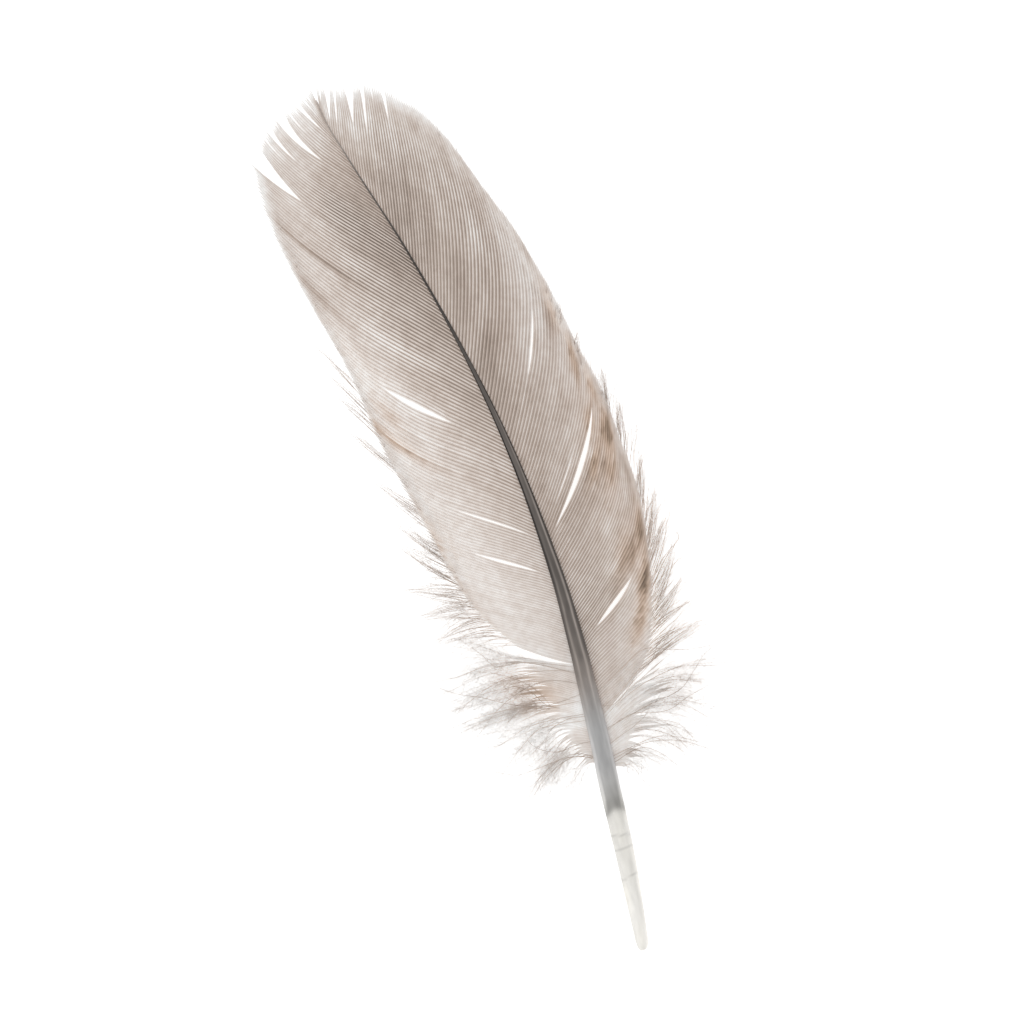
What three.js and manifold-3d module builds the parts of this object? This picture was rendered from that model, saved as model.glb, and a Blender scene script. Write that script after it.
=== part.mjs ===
// A turkey wing feather, lying upper side up on a flat surface.
//
// Millimetres. +X runs from the quill tip to the feather tip, +Y is the feather's left and +Z is up.
// The origin is under the middle of the feather, on the surface that it rests on.
//
// A feather grows as one piece, so it is one closed solid: the shaft, the vane on each side of it,
// and the down and loose barbs, as flat locks. Each vane is an arched sheet spanned by barb lines,
// and it is open where neighbouring barbs have come unhooked.

import * as THREE from 'three';
import Module from 'manifold-3d';

const wasm = await Module();
wasm.setup();

// Shaft: where its middle runs, seen from above and from the side, and its full width.
const QUILL_TIP_X = -65.1;
const SHAFT_END_X = 63.5;
const SHAFT_SIDES = 12;
const SHAFT_STEP = 4;
const SHAFT_LEAST_WIDTH = 0.6;
const SHAFT_Y = [
  [-65.1, 5.3], [-50, 2.75], [-42, 1.65], [-35, 0.6], [-27, -0.45], [-20, -1.3], [-12, -1.95],
  [-5, -2.2], [3, -2.25], [10, -2.0], [18, -1.4], [25, -0.6], [40, 1.7], [55, 4.8], [60.5, 5.8], [65, 6.0],
];
const SHAFT_WIDTH = [
  [-63, 1.9], [-56.5, 2.45], [-51, 2.75], [-45.5, 2.9], [-40, 2.95], [-30, 2.7], [-20, 2.35],
  [-10, 1.8], [0, 1.35], [10, 1.05], [20, 0.75], [30, 0.56], [50, 0.4], [60, 0.22],
];
const SHAFT_Z = [
  [-43, 1.45], [-36, 1.9], [-28, 3.0], [-18, 4.5], [-6, 5.8], [6, 6.3],
  [18, 6.1], [30, 5.2], [42, 3.9], [52, 2.3], [60, 1.0], [65, 0.5],
];
const QUILL_RESTS_TO_X = -46;

// Rounded quill tip, from the bottom of its pore outwards: distance from the tip, and radius.
const QUILL_TIP_PROFILE = [[0.9, 0.2], [0.1, 0.25], [0, 0.4], [0.15, 0.6], [0.6, 0.82], [1.3, 0.92]];

// Barbs: [root x, angle at the root, tip x, tip y, angle at the tip], with the angles in degrees
// from the +X direction, opening to the barb's own side.
const LEFT_BARBS = [
  [-24, 70, -3.5, 11.6, 0], [-16, 64, 3.4, 12.7, 6], [-10, 58, 10.4, 13.9, 6],
  [-3.5, 51, 17.1, 14.6, 8], [3.5, 50, 26.4, 15.3, 2], [11, 53, 35.2, 16.4, 3],
  [17.5, 51, 44.0, 17.0, 0], [25, 47, 50.6, 17.3, 2], [31.5, 43, 55.0, 17.0, 10],
  [38.5, 44, 58.1, 15.4, 26], [45, 46, 61.2, 13.2, 14], [51, 48, 63.1, 11.0, 6],
  [55.7, 46, 63.9, 8.0, 2], [60, 35, 64.9, 6.6, 0], [63, 20, 65.1, 6.1, 0],
];
const RIGHT_BARBS = [
  [-32.5, 62, -24.5, -11.7, 36], [-27.8, 66, -17.3, -14.5, 28], [-22.3, 59, -8.3, -16.7, 20],
  [-17.6, 55, -1.2, -17.7, 12], [-13.5, 49, 5.5, -18.0, 14], [-10, 41, 11.2, -17.0, 11],
  [-6.2, 36, 18.7, -16.2, 9], [1.9, 41, 27.4, -14.8, 13], [12, 48, 36.3, -13.5, 9],
  [19.2, 44, 44.2, -11.4, 8], [25.5, 26, 53.0, -8.8, 0], [32.8, 17, 59.0, -4.6, -4],
  [39.5, 17, 61.5, -1.7, -6], [46, 15, 62.7, -0.1, 6], [54.9, 18, 63.9, 3.1, 0],
  [60.5, 30, 64.6, 4.5, 5], [63, 20, 65.0, 5.5, 0],
];
const BARB_BEND = 0.36;
const BARB_LINE_STEP = 3.2;
const BARB_SEGMENTS = 9;

// Slits between unhooked barbs: where along the shaft, the share of the barb's length at which
// the slit starts and ends, and its greatest width. One that ends at 1 is open at the edge.
const LEFT_SLITS = [
  { at: -11.4, from: 0.09, to: 0.44, gap: 0.45 }, { at: -5.5, from: 0.06, to: 0.48, gap: 0.3 },
  { at: 10.1, from: 0.23, to: 0.58, gap: 0.75 }, { at: 38.5, from: 0.68, to: 1, gap: 3 },
  { at: 45.6, from: 0.7, to: 1, gap: 0.8 }, { at: 50.7, from: 0.42, to: 1, gap: 1.5 },
  { at: 55.5, from: 0.45, to: 1, gap: 0.7 },
];
const RIGHT_SLITS = [
  { at: -22, from: 0.18, to: 0.6, gap: 0.8 }, { at: -7.6, from: 0.11, to: 0.76, gap: 0.8 },
  { at: 9, from: 0.3, to: 0.68, gap: 0.35 }, { at: 36.9, from: 0.8, to: 1, gap: 0.5 },
  { at: 45.8, from: 0.62, to: 1, gap: 0.6 }, { at: 50.6, from: 0.62, to: 1, gap: 1.4 },
  { at: 56.6, from: 0.33, to: 1, gap: 0.4 }, { at: 59.7, from: 0.2, to: 1, gap: 0.9 },
];
const SLIT_SPREAD = 3.5;
const LIP_OFFSET = 0.15;

// Arch of the vanes: each runs down from the shaft and meets the surface at its reach, a little
// inside its edge, so that its margin lies flat.
const VANE_THICKNESS = 0.4;
const VANE_EDGE_Z = VANE_THICKNESS / 2;
const VANE_ROOT_INSET = 0.1;
const LEFT_REACH = [
  [-42, 12], [-25, 14], [-10, 12.5], [0, 13.2], [10, 14.6], [20, 15.2],
  [30, 14.8], [40, 14.3], [50, 12.8], [57, 10.6], [62, 6.2], [65.2, 2],
];
const RIGHT_REACH = [
  [-42, 12], [-30, 14], [-20, 14], [-10, 13.8], [0, 14.4], [10, 14],
  [30, 13.4], [40, 13.6], [50, 12.6], [57, 10.6], [61, 7.6], [65.2, 2],
];

// Down locks, which grow from the shaft below the vanes: a row as for the barbs, then how many
// locks share the stretch up to the next row.
const LEFT_DOWN = [
  [-24.5, 58, -19.5, 19.2, 88, 6], [-28, 60, -26.5, 20.2, 104, 6], [-32, 64, -32.5, 15.6, 116, 5],
  [-36, 74, -38, 10.5, 120, 3], [-38.5, 85, -40, 6.5, 130, 0],
];
const RIGHT_DOWN = [
  [-32.6, 58, -29.5, -19.4, 92, 4], [-34.2, 62, -34, -17.6, 105, 5], [-36.2, 70, -40.3, -13.4, 112, 4],
  [-38, 80, -42, -7, 135, 2], [-39, 90, -41.5, -4.5, 140, 0],
];

// Loose barb ends past the vane edges: barb root x, the share of the barb's length at which the
// end comes loose, and where its tip lies.
const LEFT_FRINGE = [
  [-24, 0.55, -14, 18.4], [-23.5, 0.65, -9.8, 18.9], [-23, 0.72, -5.4, 19.4], [-22, 0.8, 0.8, 17.4],
  [-18, 0.8, 4.3, 17], [-12.5, 0.82, 10.8, 17.9], [-7, 0.84, 19.6, 19.1], [-2, 0.86, 24, 18.2],
  [0.5, 0.86, 28.3, 19.1], [4, 0.86, 33.2, 19.2],
];
const RIGHT_FRINGE = [
  [-32.5, 0.8, -24.2, -20.3], [-31, 0.82, -20.5, -20.1], [-29.5, 0.84, -16.6, -20.4],
  [-27.5, 0.84, -11.8, -20.4], [-25, 0.84, -8.2, -20.4], [-22.5, 0.84, -4.5, -19.2],
  [-19, 0.84, 1, -19.4], [-14, 0.86, 9.1, -18.9], [-11, 0.86, 15, -18.7], [-6, 0.88, 21, -17.3],
  [-2, 0.88, 25.6, -16.6],
];
const DOWN_LOCK_SEGMENTS = 6;
const FRINGE_LOCK_SEGMENTS = 4;
const DOWN_LOCK_WIDTH = 1.5;
const FRINGE_LOCK_WIDTH = 0.8;
const LOCK_THICKNESS = 0.36;
const LOCK_TIP_SHARE = 0.25;
const DOWN_LIFT = 1.8;
const FRINGE_LIFT = 0.5;
const DOWN_SCATTER = 2.2;

const BEIGE_GREY = new THREE.MeshStandardMaterial({ color: 0xb3a9a1, roughness: 0.75, metalness: 0 });

// Value of one column of a table at x, on a smooth curve through the rows. Flat past its ends.
function smooth(rows, x, column = 1) {
  const last = rows.length - 1;
  if (x <= rows[0][0]) return rows[0][column];
  if (x >= rows[last][0]) return rows[last][column];
  const slope = (i) => (rows[i + 1][column] - rows[i][column]) / (rows[i + 1][0] - rows[i][0]);
  const step = (i) => rows[i + 1][0] - rows[i][0];
  const tangent = (i) => {
    if (i === 0) return slope(0);
    if (i === last) return slope(last - 1);
    return (slope(i - 1) * step(i) + slope(i) * step(i - 1)) / (step(i - 1) + step(i));
  };
  let i = 0;
  while (x > rows[i + 1][0]) i += 1;
  const h = step(i);
  const u = (x - rows[i][0]) / h;
  const rise = 3 * u ** 2 - 2 * u ** 3;
  const value = (1 - rise) * rows[i][column] + rise * rows[i + 1][column];
  return value + h * ((u ** 3 - 2 * u ** 2 + u) * tangent(i) + (u ** 3 - u ** 2) * tangent(i + 1));
}

// A repeatable scatter between -1 and 1.
function scatter(index, salt) {
  const wave = Math.sin(index * 12.9898 + salt * 78.233) * 43758.5453;
  return 2 * (wave - Math.floor(wave)) - 1;
}

// A closed mesh as a solid that can be joined to others.
function solid(points, triangles) {
  return new wasm.Manifold(new wasm.Mesh({
    numProp: 3,
    vertProperties: new Float32Array(points.flat()),
    triVerts: new Uint32Array(triangles.flat()),
  }));
}

// A closed solid through rings of equal point count, counter-clockwise seen from its far end.
function loft(rings) {
  const count = rings[0].length;
  const points = rings.flat();
  const triangles = [];
  for (let r = 0; r < rings.length - 1; r += 1) {
    for (let k = 0; k < count; k += 1) {
      const a = r * count + k;
      const b = r * count + ((k + 1) % count);
      triangles.push([a, b, b + count], [a, b + count, a + count]);
    }
  }
  const lastRing = (rings.length - 1) * count;
  for (let k = 1; k < count - 1; k += 1) {
    triangles.push([0, k + 1, k], [lastRing, lastRing + k, lastRing + k + 1]);
  }
  return solid(points, triangles);
}

function shaftRadius(x) {
  return Math.max(smooth(SHAFT_WIDTH, x), SHAFT_LEAST_WIDTH) / 2;
}

// Height of the shaft's middle. The quill lies on one flat face of its section.
function shaftHeight(x) {
  const toFlat = Math.cos(Math.PI / SHAFT_SIDES);
  if (x <= QUILL_RESTS_TO_X) return shaftRadius(x) * toFlat;
  const lying = shaftRadius(QUILL_RESTS_TO_X) * toFlat;
  return Math.max(lying, smooth(SHAFT_Z, x));
}

function shaftRing(x, radius) {
  const ring = [];
  for (let k = 0; k < SHAFT_SIDES; k += 1) {
    const angle = ((k + 0.5) / SHAFT_SIDES) * 2 * Math.PI;
    ring.push([
      x,
      smooth(SHAFT_Y, x) + radius * Math.cos(angle),
      shaftHeight(x) + radius * Math.sin(angle),
    ]);
  }
  return ring;
}

function makeShaft() {
  const rings = QUILL_TIP_PROFILE.map(([back, radius]) => shaftRing(QUILL_TIP_X + back, radius));
  const lastOfTip = QUILL_TIP_PROFILE[QUILL_TIP_PROFILE.length - 1][0];
  const start = QUILL_TIP_X + lastOfTip + 1;
  const steps = Math.ceil((SHAFT_END_X - start) / SHAFT_STEP);
  for (let i = 0; i <= steps; i += 1) {
    const x = start + ((SHAFT_END_X - start) * i) / steps;
    rings.push(shaftRing(x, shaftRadius(x)));
  }
  return loft(rings);
}

// Height of the middle of the vane: highest at the shaft, down to the surface at its edge.
function vaneHeight(x, y, side) {
  const reach = smooth(side > 0 ? LEFT_REACH : RIGHT_REACH, x);
  const across = Math.min(1, Math.abs(y - smooth(SHAFT_Y, x)) / reach);
  return VANE_EDGE_Z + (shaftHeight(x) - VANE_EDGE_Z) * (1 - across ** 2);
}

// A barb as a plane curve: it leaves the shaft at one angle and bends to another at its tip.
function barbCurve(rows, side, root) {
  const rad = Math.PI / 180;
  const start = new THREE.Vector2(root, smooth(SHAFT_Y, root));
  const end = new THREE.Vector2(smooth(rows, root, 2), smooth(rows, root, 3));
  const arm = start.distanceTo(end) * BARB_BEND;
  const startAngle = smooth(rows, root, 1) * rad;
  const endAngle = smooth(rows, root, 4) * rad;
  const startArm = new THREE.Vector2(Math.cos(startAngle), side * Math.sin(startAngle)).multiplyScalar(arm);
  const endArm = new THREE.Vector2(Math.cos(endAngle), side * Math.sin(endAngle)).multiplyScalar(arm);
  return new THREE.CubicBezierCurve(start, start.clone().add(startArm), end.clone().sub(endArm), end);
}

// How far a slit pushes a barb aside at a share t of its length: widest in the middle of a closed
// slit, and at the edge of an open one.
function slitPush(slit, root, t) {
  const along = THREE.MathUtils.clamp((t - slit.from) / (slit.to - slit.from), 0, 1);
  const opening = slit.to === 1 ? along : Math.sin(Math.PI * along);
  const distance = root - slit.at;
  return Math.sign(distance) * (slit.gap / 2) * opening * Math.exp(-Math.abs(distance) / SLIT_SPREAD);
}

function barbPoint(curve, side, root, slits, t) {
  const point = curve.getPoint(t);
  const tangent = curve.getTangent(t);
  const push = slits.reduce((sum, slit) => sum + slitPush(slit, root, t), 0);
  point.x += push * Math.abs(tangent.y);
  point.y -= push * side * tangent.x;
  if (t === 0) point.y -= side * VANE_ROOT_INSET;
  return [point.x, point.y, vaneHeight(point.x, point.y, side)];
}

// Root places of the barb lines that span a vane: evenly spaced, with a pair at each slit's lips.
function barbRoots(rows, slits) {
  const first = rows[0][0];
  const last = rows[rows.length - 1][0];
  const steps = Math.round((last - first) / BARB_LINE_STEP);
  const even = Array.from({ length: steps + 1 }, (_, i) => first + ((last - first) * i) / steps);
  const clear = even.filter((x) => slits.every((slit) => Math.abs(x - slit.at) > BARB_LINE_STEP / 3));
  const lips = slits.flatMap((slit) => [slit.at - LIP_OFFSET, slit.at + LIP_OFFSET]);
  return [...clear, ...lips].sort((a, b) => a - b);
}

// One vane: a sheet with a top, a bottom, and a wall along every free edge, those of slits too.
function makeVane(rows, side, slits) {
  const roots = barbRoots(rows, slits);
  const columns = BARB_SEGMENTS + 1;
  const middle = roots.flatMap((root) => {
    const curve = barbCurve(rows, side, root);
    return Array.from({ length: columns }, (_, j) => barbPoint(curve, side, root, slits, j / BARB_SEGMENTS));
  });
  const half = VANE_THICKNESS / 2;
  const top = middle.map(([x, y, z]) => [x, y, z + half]);
  const bottom = middle.map(([x, y, z]) => [x, y, z - half]);
  const inSlit = (i, j) => slits.some((slit) => {
    const betweenLips = roots[i] < slit.at && roots[i + 1] > slit.at;
    const t = (j + 0.5) / BARB_SEGMENTS;
    return betweenLips && t > slit.from && t < slit.to;
  });
  const filled = (i, j) => i >= 0 && i < roots.length - 1 && j >= 0 && j < BARB_SEGMENTS && !inSlit(i, j);
  const triangles = [];
  const addFace = (face) => triangles.push(side > 0 ? face : [face[0], face[2], face[1]]);
  const addWall = (a, b) => {
    const below = top.length;
    addFace([a + below, b + below, b]);
    addFace([a + below, b, a]);
  };
  for (let i = 0; i < roots.length - 1; i += 1) {
    for (let j = 0; j < BARB_SEGMENTS; j += 1) {
      if (filled(i, j)) {
        const a = i * columns + j;
        const b = a + columns;
        const below = top.length;
        addFace([a, b, b + 1]);
        addFace([a, b + 1, a + 1]);
        addFace([a + below, b + 1 + below, b + below]);
        addFace([a + below, a + 1 + below, b + 1 + below]);
        if (!filled(i, j - 1)) addWall(a, b);
        if (!filled(i + 1, j)) addWall(b, b + 1);
        if (!filled(i, j + 1)) addWall(b + 1, a + 1);
        if (!filled(i - 1, j)) addWall(a + 1, a);
      }
    }
  }
  return solid([...top, ...bottom], triangles);
}

// A lock: a flat blade along a curve, that widens from its root and runs out to a narrow tip.
function makeLock(curve, side, segments, width, lift) {
  const rings = [];
  for (let s = 0; s <= segments; s += 1) {
    const t = s / segments;
    const point = curve.getPoint(t);
    const tangent = curve.getTangent(t);
    const swell = Math.sin(Math.PI * (0.25 + 0.6 * t));
    const half = (width / 2) * (t < 1 ? swell : LOCK_TIP_SHARE);
    const thick = (LOCK_THICKNESS / 2) * (1 - 0.5 * t);
    const floorGap = LOCK_THICKNESS / 2;
    const height = Math.max(floorGap, vaneHeight(point.x, point.y, side) + lift * Math.sin(Math.PI * t));
    const across = [-tangent.y * half, tangent.x * half];
    rings.push([
      [point.x - across[0], point.y - across[1], height],
      [point.x, point.y, height + thick],
      [point.x + across[0], point.y + across[1], height],
      [point.x, point.y, height - thick],
    ].reverse());
  }
  return loft(rings);
}

function makeDown(rows, side, salt) {
  const locks = [];
  let index = 0;
  rows.slice(0, -1).forEach((row, r) => {
    const count = row[5];
    for (let n = 0; n < count; n += 1) {
      index += 1;
      const root = row[0] + ((rows[r + 1][0] - row[0]) * n) / count;
      const curve = barbCurve([...rows].reverse(), side, root);
      curve.v2.x += DOWN_SCATTER * 0.5 * scatter(index, salt);
      curve.v3.x += DOWN_SCATTER * scatter(index, salt + 1);
      curve.v3.y -= side * DOWN_SCATTER * Math.max(0, scatter(index, salt + 2));
      const lift = DOWN_LIFT * (0.6 + 0.4 * scatter(index, salt + 3));
      locks.push(makeLock(curve, side, DOWN_LOCK_SEGMENTS, DOWN_LOCK_WIDTH, lift));
    }
  });
  return locks;
}

// Loose ends leave their barb near the vane edge and run straight on, away from the vane.
function makeFringe(fringe, rows, side) {
  return fringe.map(([root, looseFrom, tipX, tipY]) => {
    const barb = barbCurve(rows, side, root);
    const start = barb.getPoint(looseFrom);
    const heading = barb.getTangent(looseFrom);
    const end = new THREE.Vector2(tipX, tipY);
    const arm = start.distanceTo(end) / 3;
    const bend = start.clone().add(heading.multiplyScalar(arm));
    const curve = new THREE.QuadraticBezierCurve(start, bend, end);
    return makeLock(curve, side, FRINGE_LOCK_SEGMENTS, FRINGE_LOCK_WIDTH, FRINGE_LIFT);
  });
}

function makeFeather() {
  const pieces = [
    makeVane(LEFT_BARBS, 1, LEFT_SLITS),
    makeVane(RIGHT_BARBS, -1, RIGHT_SLITS),
    ...makeDown(LEFT_DOWN, 1, 1),
    ...makeDown(RIGHT_DOWN, -1, 5),
    ...makeFringe(LEFT_FRINGE, LEFT_BARBS, 1),
    ...makeFringe(RIGHT_FRINGE, RIGHT_BARBS, -1),
  ];
  const joined = pieces.reduce((sum, piece) => sum.add(piece), makeShaft());
  const mesh = joined.getMesh();
  const geometry = new THREE.BufferGeometry();
  geometry.setAttribute('position', new THREE.BufferAttribute(mesh.vertProperties, mesh.numProp));
  geometry.setIndex(new THREE.BufferAttribute(mesh.triVerts, 1));
  geometry.computeVertexNormals();
  const feather = new THREE.Mesh(geometry, BEIGE_GREY);
  feather.name = 'feather';
  return feather;
}

const group = new THREE.Group();
group.add(makeFeather());

export default group;
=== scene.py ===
import math

import bpy
import numpy as np
from mathutils import Matrix


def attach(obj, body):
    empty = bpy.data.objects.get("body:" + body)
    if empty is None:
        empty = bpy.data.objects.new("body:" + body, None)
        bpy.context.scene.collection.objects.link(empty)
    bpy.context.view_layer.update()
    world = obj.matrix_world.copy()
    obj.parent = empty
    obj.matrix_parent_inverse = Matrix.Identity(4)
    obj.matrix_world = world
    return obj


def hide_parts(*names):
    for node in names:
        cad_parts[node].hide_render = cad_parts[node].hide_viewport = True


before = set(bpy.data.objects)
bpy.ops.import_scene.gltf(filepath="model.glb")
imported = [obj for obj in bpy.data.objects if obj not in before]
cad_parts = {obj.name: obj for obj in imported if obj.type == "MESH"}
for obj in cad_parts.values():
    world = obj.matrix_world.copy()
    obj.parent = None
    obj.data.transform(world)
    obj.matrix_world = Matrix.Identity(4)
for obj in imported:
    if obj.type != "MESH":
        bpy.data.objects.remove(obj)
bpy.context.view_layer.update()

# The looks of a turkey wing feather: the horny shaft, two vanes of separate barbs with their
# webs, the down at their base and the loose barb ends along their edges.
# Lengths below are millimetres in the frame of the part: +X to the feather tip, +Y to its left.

MM = 0.001
RAD = math.pi / 180
LEFT, RIGHT = 1, -1

# --- Form ------------------------------------------------------------------------------------

# The shaft's line, height and quill tip and the reach of the arch are the part's. The shaft is a
# little thinner toward the tip than the part's. The barbs and slits are placed anew: they end near
# the part's margins and part near its slits.
QUILL_TIP_X = -65.1
SHAFT_END_X = 63.5
SHAFT_SIDES = 12
QUILL_RESTS_TO_X = -46
SHAFT_Y = [
    (-65.1, 5.3), (-50, 2.75), (-42, 1.65), (-35, 0.6), (-27, -0.45), (-20, -1.3), (-12, -1.95),
    (-5, -2.2), (3, -2.25), (10, -2.0), (18, -1.4), (25, -0.6), (40, 1.7), (55, 4.8), (60.5, 5.8),
    (65, 6.0),
]
SHAFT_WIDTH = [
    (-63, 1.9), (-56.5, 2.45), (-51, 2.75), (-45.5, 2.9), (-40, 2.95), (-30, 2.7), (-20, 2.35),
    (-10, 1.8), (0, 1.35), (10, 1.0), (20, 0.62), (30, 0.36), (50, 0.22), (60, 0.16),
]
SHAFT_Z = [
    (-43, 1.45), (-36, 1.9), (-28, 3.0), (-18, 4.5), (-6, 5.8), (6, 6.3),
    (18, 6.1), (30, 5.2), (42, 3.9), (52, 2.3), (60, 1.0), (65, 0.5),
]
QUILL_TIP_PROFILE = [(0.9, 0.2), (0.1, 0.25), (0, 0.4), (0.15, 0.6), (0.6, 0.82), (1.3, 0.92)]

# Barbs: root x, angle at the root, tip x, tip y, angle at the tip.
LEFT_BARBS = [
    (-24, 60, -18.4, 6.8, 52), (-22.5, 48, -15.4, 8.6, 56), (-19, 45, -9.9, 10.8, 50),
    (-16, 45, -5.8, 11.4, 44), (-10, 44, 2.9, 12.6, 34), (-3.5, 43, 13.7, 14.2, 24),
    (3.5, 41, 24.3, 15.1, 18), (11, 41, 36.3, 16.5, 16), (17.5, 39, 43.9, 17.0, 20),
    (25, 37, 51.3, 17.3, 22), (31.5, 35, 56.1, 16.5, 20), (38.5, 33, 59.1, 14.6, 18),
    (45, 33, 61.7, 12.6, 12), (51, 31, 63.2, 10.6, 12), (55.7, 29, 63.7, 8.8, 20),
    (60, 22, 64.3, 7.2, 24), (63, 20, 65.0, 6.3, 20),
]
RIGHT_BARBS = [
    (-32.5, 62, -28.8, -7.0, 68), (-30.5, 63, -26.4, -10.0, 72), (-27.8, 61, -21.8, -12.7, 60),
    (-24, 55, -14.2, -15.3, 38), (-20, 55, -4.6, -17.3, 17), (-17.6, 56, 0.6, -17.9, 12),
    (-13.5, 53, 6.7, -17.7, 8), (-6.2, 45, 15.9, -16.4, 6), (1.9, 39, 26.7, -14.9, 4),
    (12, 32, 41.9, -12.0, -3), (19.2, 27, 50.8, -9.5, -6), (25.5, 23, 55.6, -7.3, -4),
    (32.8, 19, 58.3, -5.0, 2), (39.5, 17, 60.4, -2.9, 8), (46, 13, 62.2, -0.8, 12),
    (54.9, 11, 63.6, 2.7, 14), (60.5, 12, 64.6, 4.7, 16), (63, 13, 65.1, 5.5, 16),
]
BARB_BEND = 0.36

# Slits between unhooked barbs: root x, share of the barb where it starts and ends, widest gap.
# One that ends at 1 is open at the margin. It spreads the barbs less far along the shaft.
LEFT_SLITS = [
    (-11.8, 0.14, 0.65, 0.45), (-6.0, 0.09, 0.61, 0.3), (7.8, 0.29, 0.67, 0.75),
    (34.8, 0.7, 1, 2.8), (41.2, 0.8, 1, 0.3), (43.9, 0.72, 1, 0.9), (46.8, 0.78, 1, 0.3),
    (49.1, 0.48, 1, 1.7), (52.4, 0.6, 1, 0.4), (54.6, 0.62, 1, 0.3), (56.3, 0.4, 1, 0.8),
    (58.6, 0.5, 1, 0.3), (60.6, 0.5, 1, 0.3),
]
RIGHT_SLITS = [
    (-22, 0.2, 0.65, 0.68), (-6.4, 0.09, 0.77, 0.8), (-5.2, 0.14, 0.47, 0.2),
    (7.2, 0.32, 0.67, 0.35), (39.2, 0.8, 1, 0.6), (44.0, 0.85, 1, 0.25), (47.1, 0.6, 1, 0.7),
    (51.4, 0.61, 1, 1.5), (54.2, 0.7, 1, 0.25), (56.5, 0.35, 1, 0.5), (58.8, 0.32, 1, 1.0),
    (61.2, 0.4, 1, 0.3),
]
SLIT_SPREAD = 3.5
END_SLIT_SPREAD = 1.8

VANE_EDGE_Z = 0.2
LEFT_REACH = [
    (-42, 12), (-25, 14), (-10, 12.5), (0, 13.2), (10, 14.6), (20, 15.2),
    (30, 14.8), (40, 14.3), (50, 12.8), (57, 10.6), (62, 6.2), (65.2, 2),
]
RIGHT_REACH = [
    (-42, 12), (-30, 14), (-20, 14), (-10, 13.8), (0, 14.4), (10, 14),
    (30, 13.4), (40, 13.6), (50, 12.6), (57, 10.6), (61, 7.6), (65.2, 2),
]

# --- Fine form, which only the looks have ---------------------------------------------------

# Distance between neighbouring barbs along the shaft.
LEFT_SPACING = [
    (-24, 0.365), (-16, 0.4), (-10, 0.455), (-4, 0.535), (2, 0.63), (8, 0.675), (14, 0.72),
    (20, 0.8), (26, 0.82), (38, 0.82), (50, 0.87), (63, 0.7),
]
RIGHT_SPACING = [
    (-32.5, 0.36), (-24, 0.42), (-18, 0.46), (-12, 0.5), (-6, 0.55), (0, 0.64), (6, 0.74),
    (12, 0.81), (18, 0.85), (42, 0.85), (48, 0.82), (54, 0.77), (63, 0.6),
]
# How much longer the barbs are, with their pale ends, than their curves above, along the shaft.
LEFT_GROWTH = [
    (-24, 0.6), (-14, 1.1), (-10, 1.0), (-4, 0.9), (2, 0.5), (6, 0.2), (12, 1.2), (18, 2.2),
    (24, 2.0), (40, 2.0), (46, 1.1), (63, 0.7),
]
RIGHT_GROWTH = [
    (-32.5, 0.2), (-28, -0.2), (-24, -0.2), (-20, -0.3), (-17.5, -0.8), (-15, -0.9), (-12, -0.1),
    (-8, 0.5), (-4, 0.6), (0, 1.1), (8, 1.5), (14, 0.7), (20, 1.1), (26, 1.5), (32, 1.7), (44, 1.6),
    (52, 0.9), (63, 0.7),
]
# The length over which the barbs' ends fade, along the shaft.
LEFT_SOFTNESS = [
    (-24, 0.9), (-10, 0.9), (2, 1.8), (6, 2.2), (12, 3.2), (18, 3.6), (24, 3.6), (34, 4), (40, 4),
    (46, 3), (63, 2.4),
]
RIGHT_SOFTNESS = [
    (-32.5, 1.2), (-24, 1.6), (-16, 2.2), (-12, 2.5), (-4, 1.6), (0, 3), (4, 1.4), (8, 1.4),
    (14, 1.6), (20, 2.6), (26, 3.6), (32, 3.6), (38, 4), (44, 3), (63, 2.4),
]
# The brightness, 0 to 255, that they fade to.
LEFT_END_TONE = [(-24, 236), (-4, 240), (6, 242), (63, 242)]
RIGHT_END_TONE = [(-32.5, 222), (-24, 212), (-18, 214), (-10, 224), (-2, 238), (8, 242), (63, 242)]
SIDES = {
    LEFT: {
        "barbs": LEFT_BARBS, "slits": LEFT_SLITS, "reach": LEFT_REACH, "spacing": LEFT_SPACING,
        "growth": LEFT_GROWTH, "softness": LEFT_SOFTNESS, "end_tone": LEFT_END_TONE,
    },
    RIGHT: {
        "barbs": RIGHT_BARBS, "slits": RIGHT_SLITS, "reach": RIGHT_REACH, "spacing": RIGHT_SPACING,
        "growth": RIGHT_GROWTH, "softness": RIGHT_SOFTNESS, "end_tone": RIGHT_END_TONE,
    },
}
BARB_RINGS = 56
RIB_HALF_WIDTH = 0.07
RIB_HEIGHT = 0.07
WEB_OVERLAP = 1.1

# The points of a ring round a barb: share of the web's half width, share of the rib's half width,
# height, and the value "across", which is 0 on the rib and 1 on the webs' edges.
BARB_SECTION = np.array([
    (-1, 0, -0.02, -1), (0, -1, 0, -0.2), (0, 0, RIB_HEIGHT, 0), (0, 1, 0, 0.2), (1, 0, 0.03, 1),
    (0, 0, -0.06, 0),
])
WEB_EDGE_POINTS = (0, 4)
# How far round the section each of them lies, with 1 at the end.
BARB_GIRTH = [0, 0.24, 0.3, 0.36, 0.6, 0.8, 1]

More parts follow.
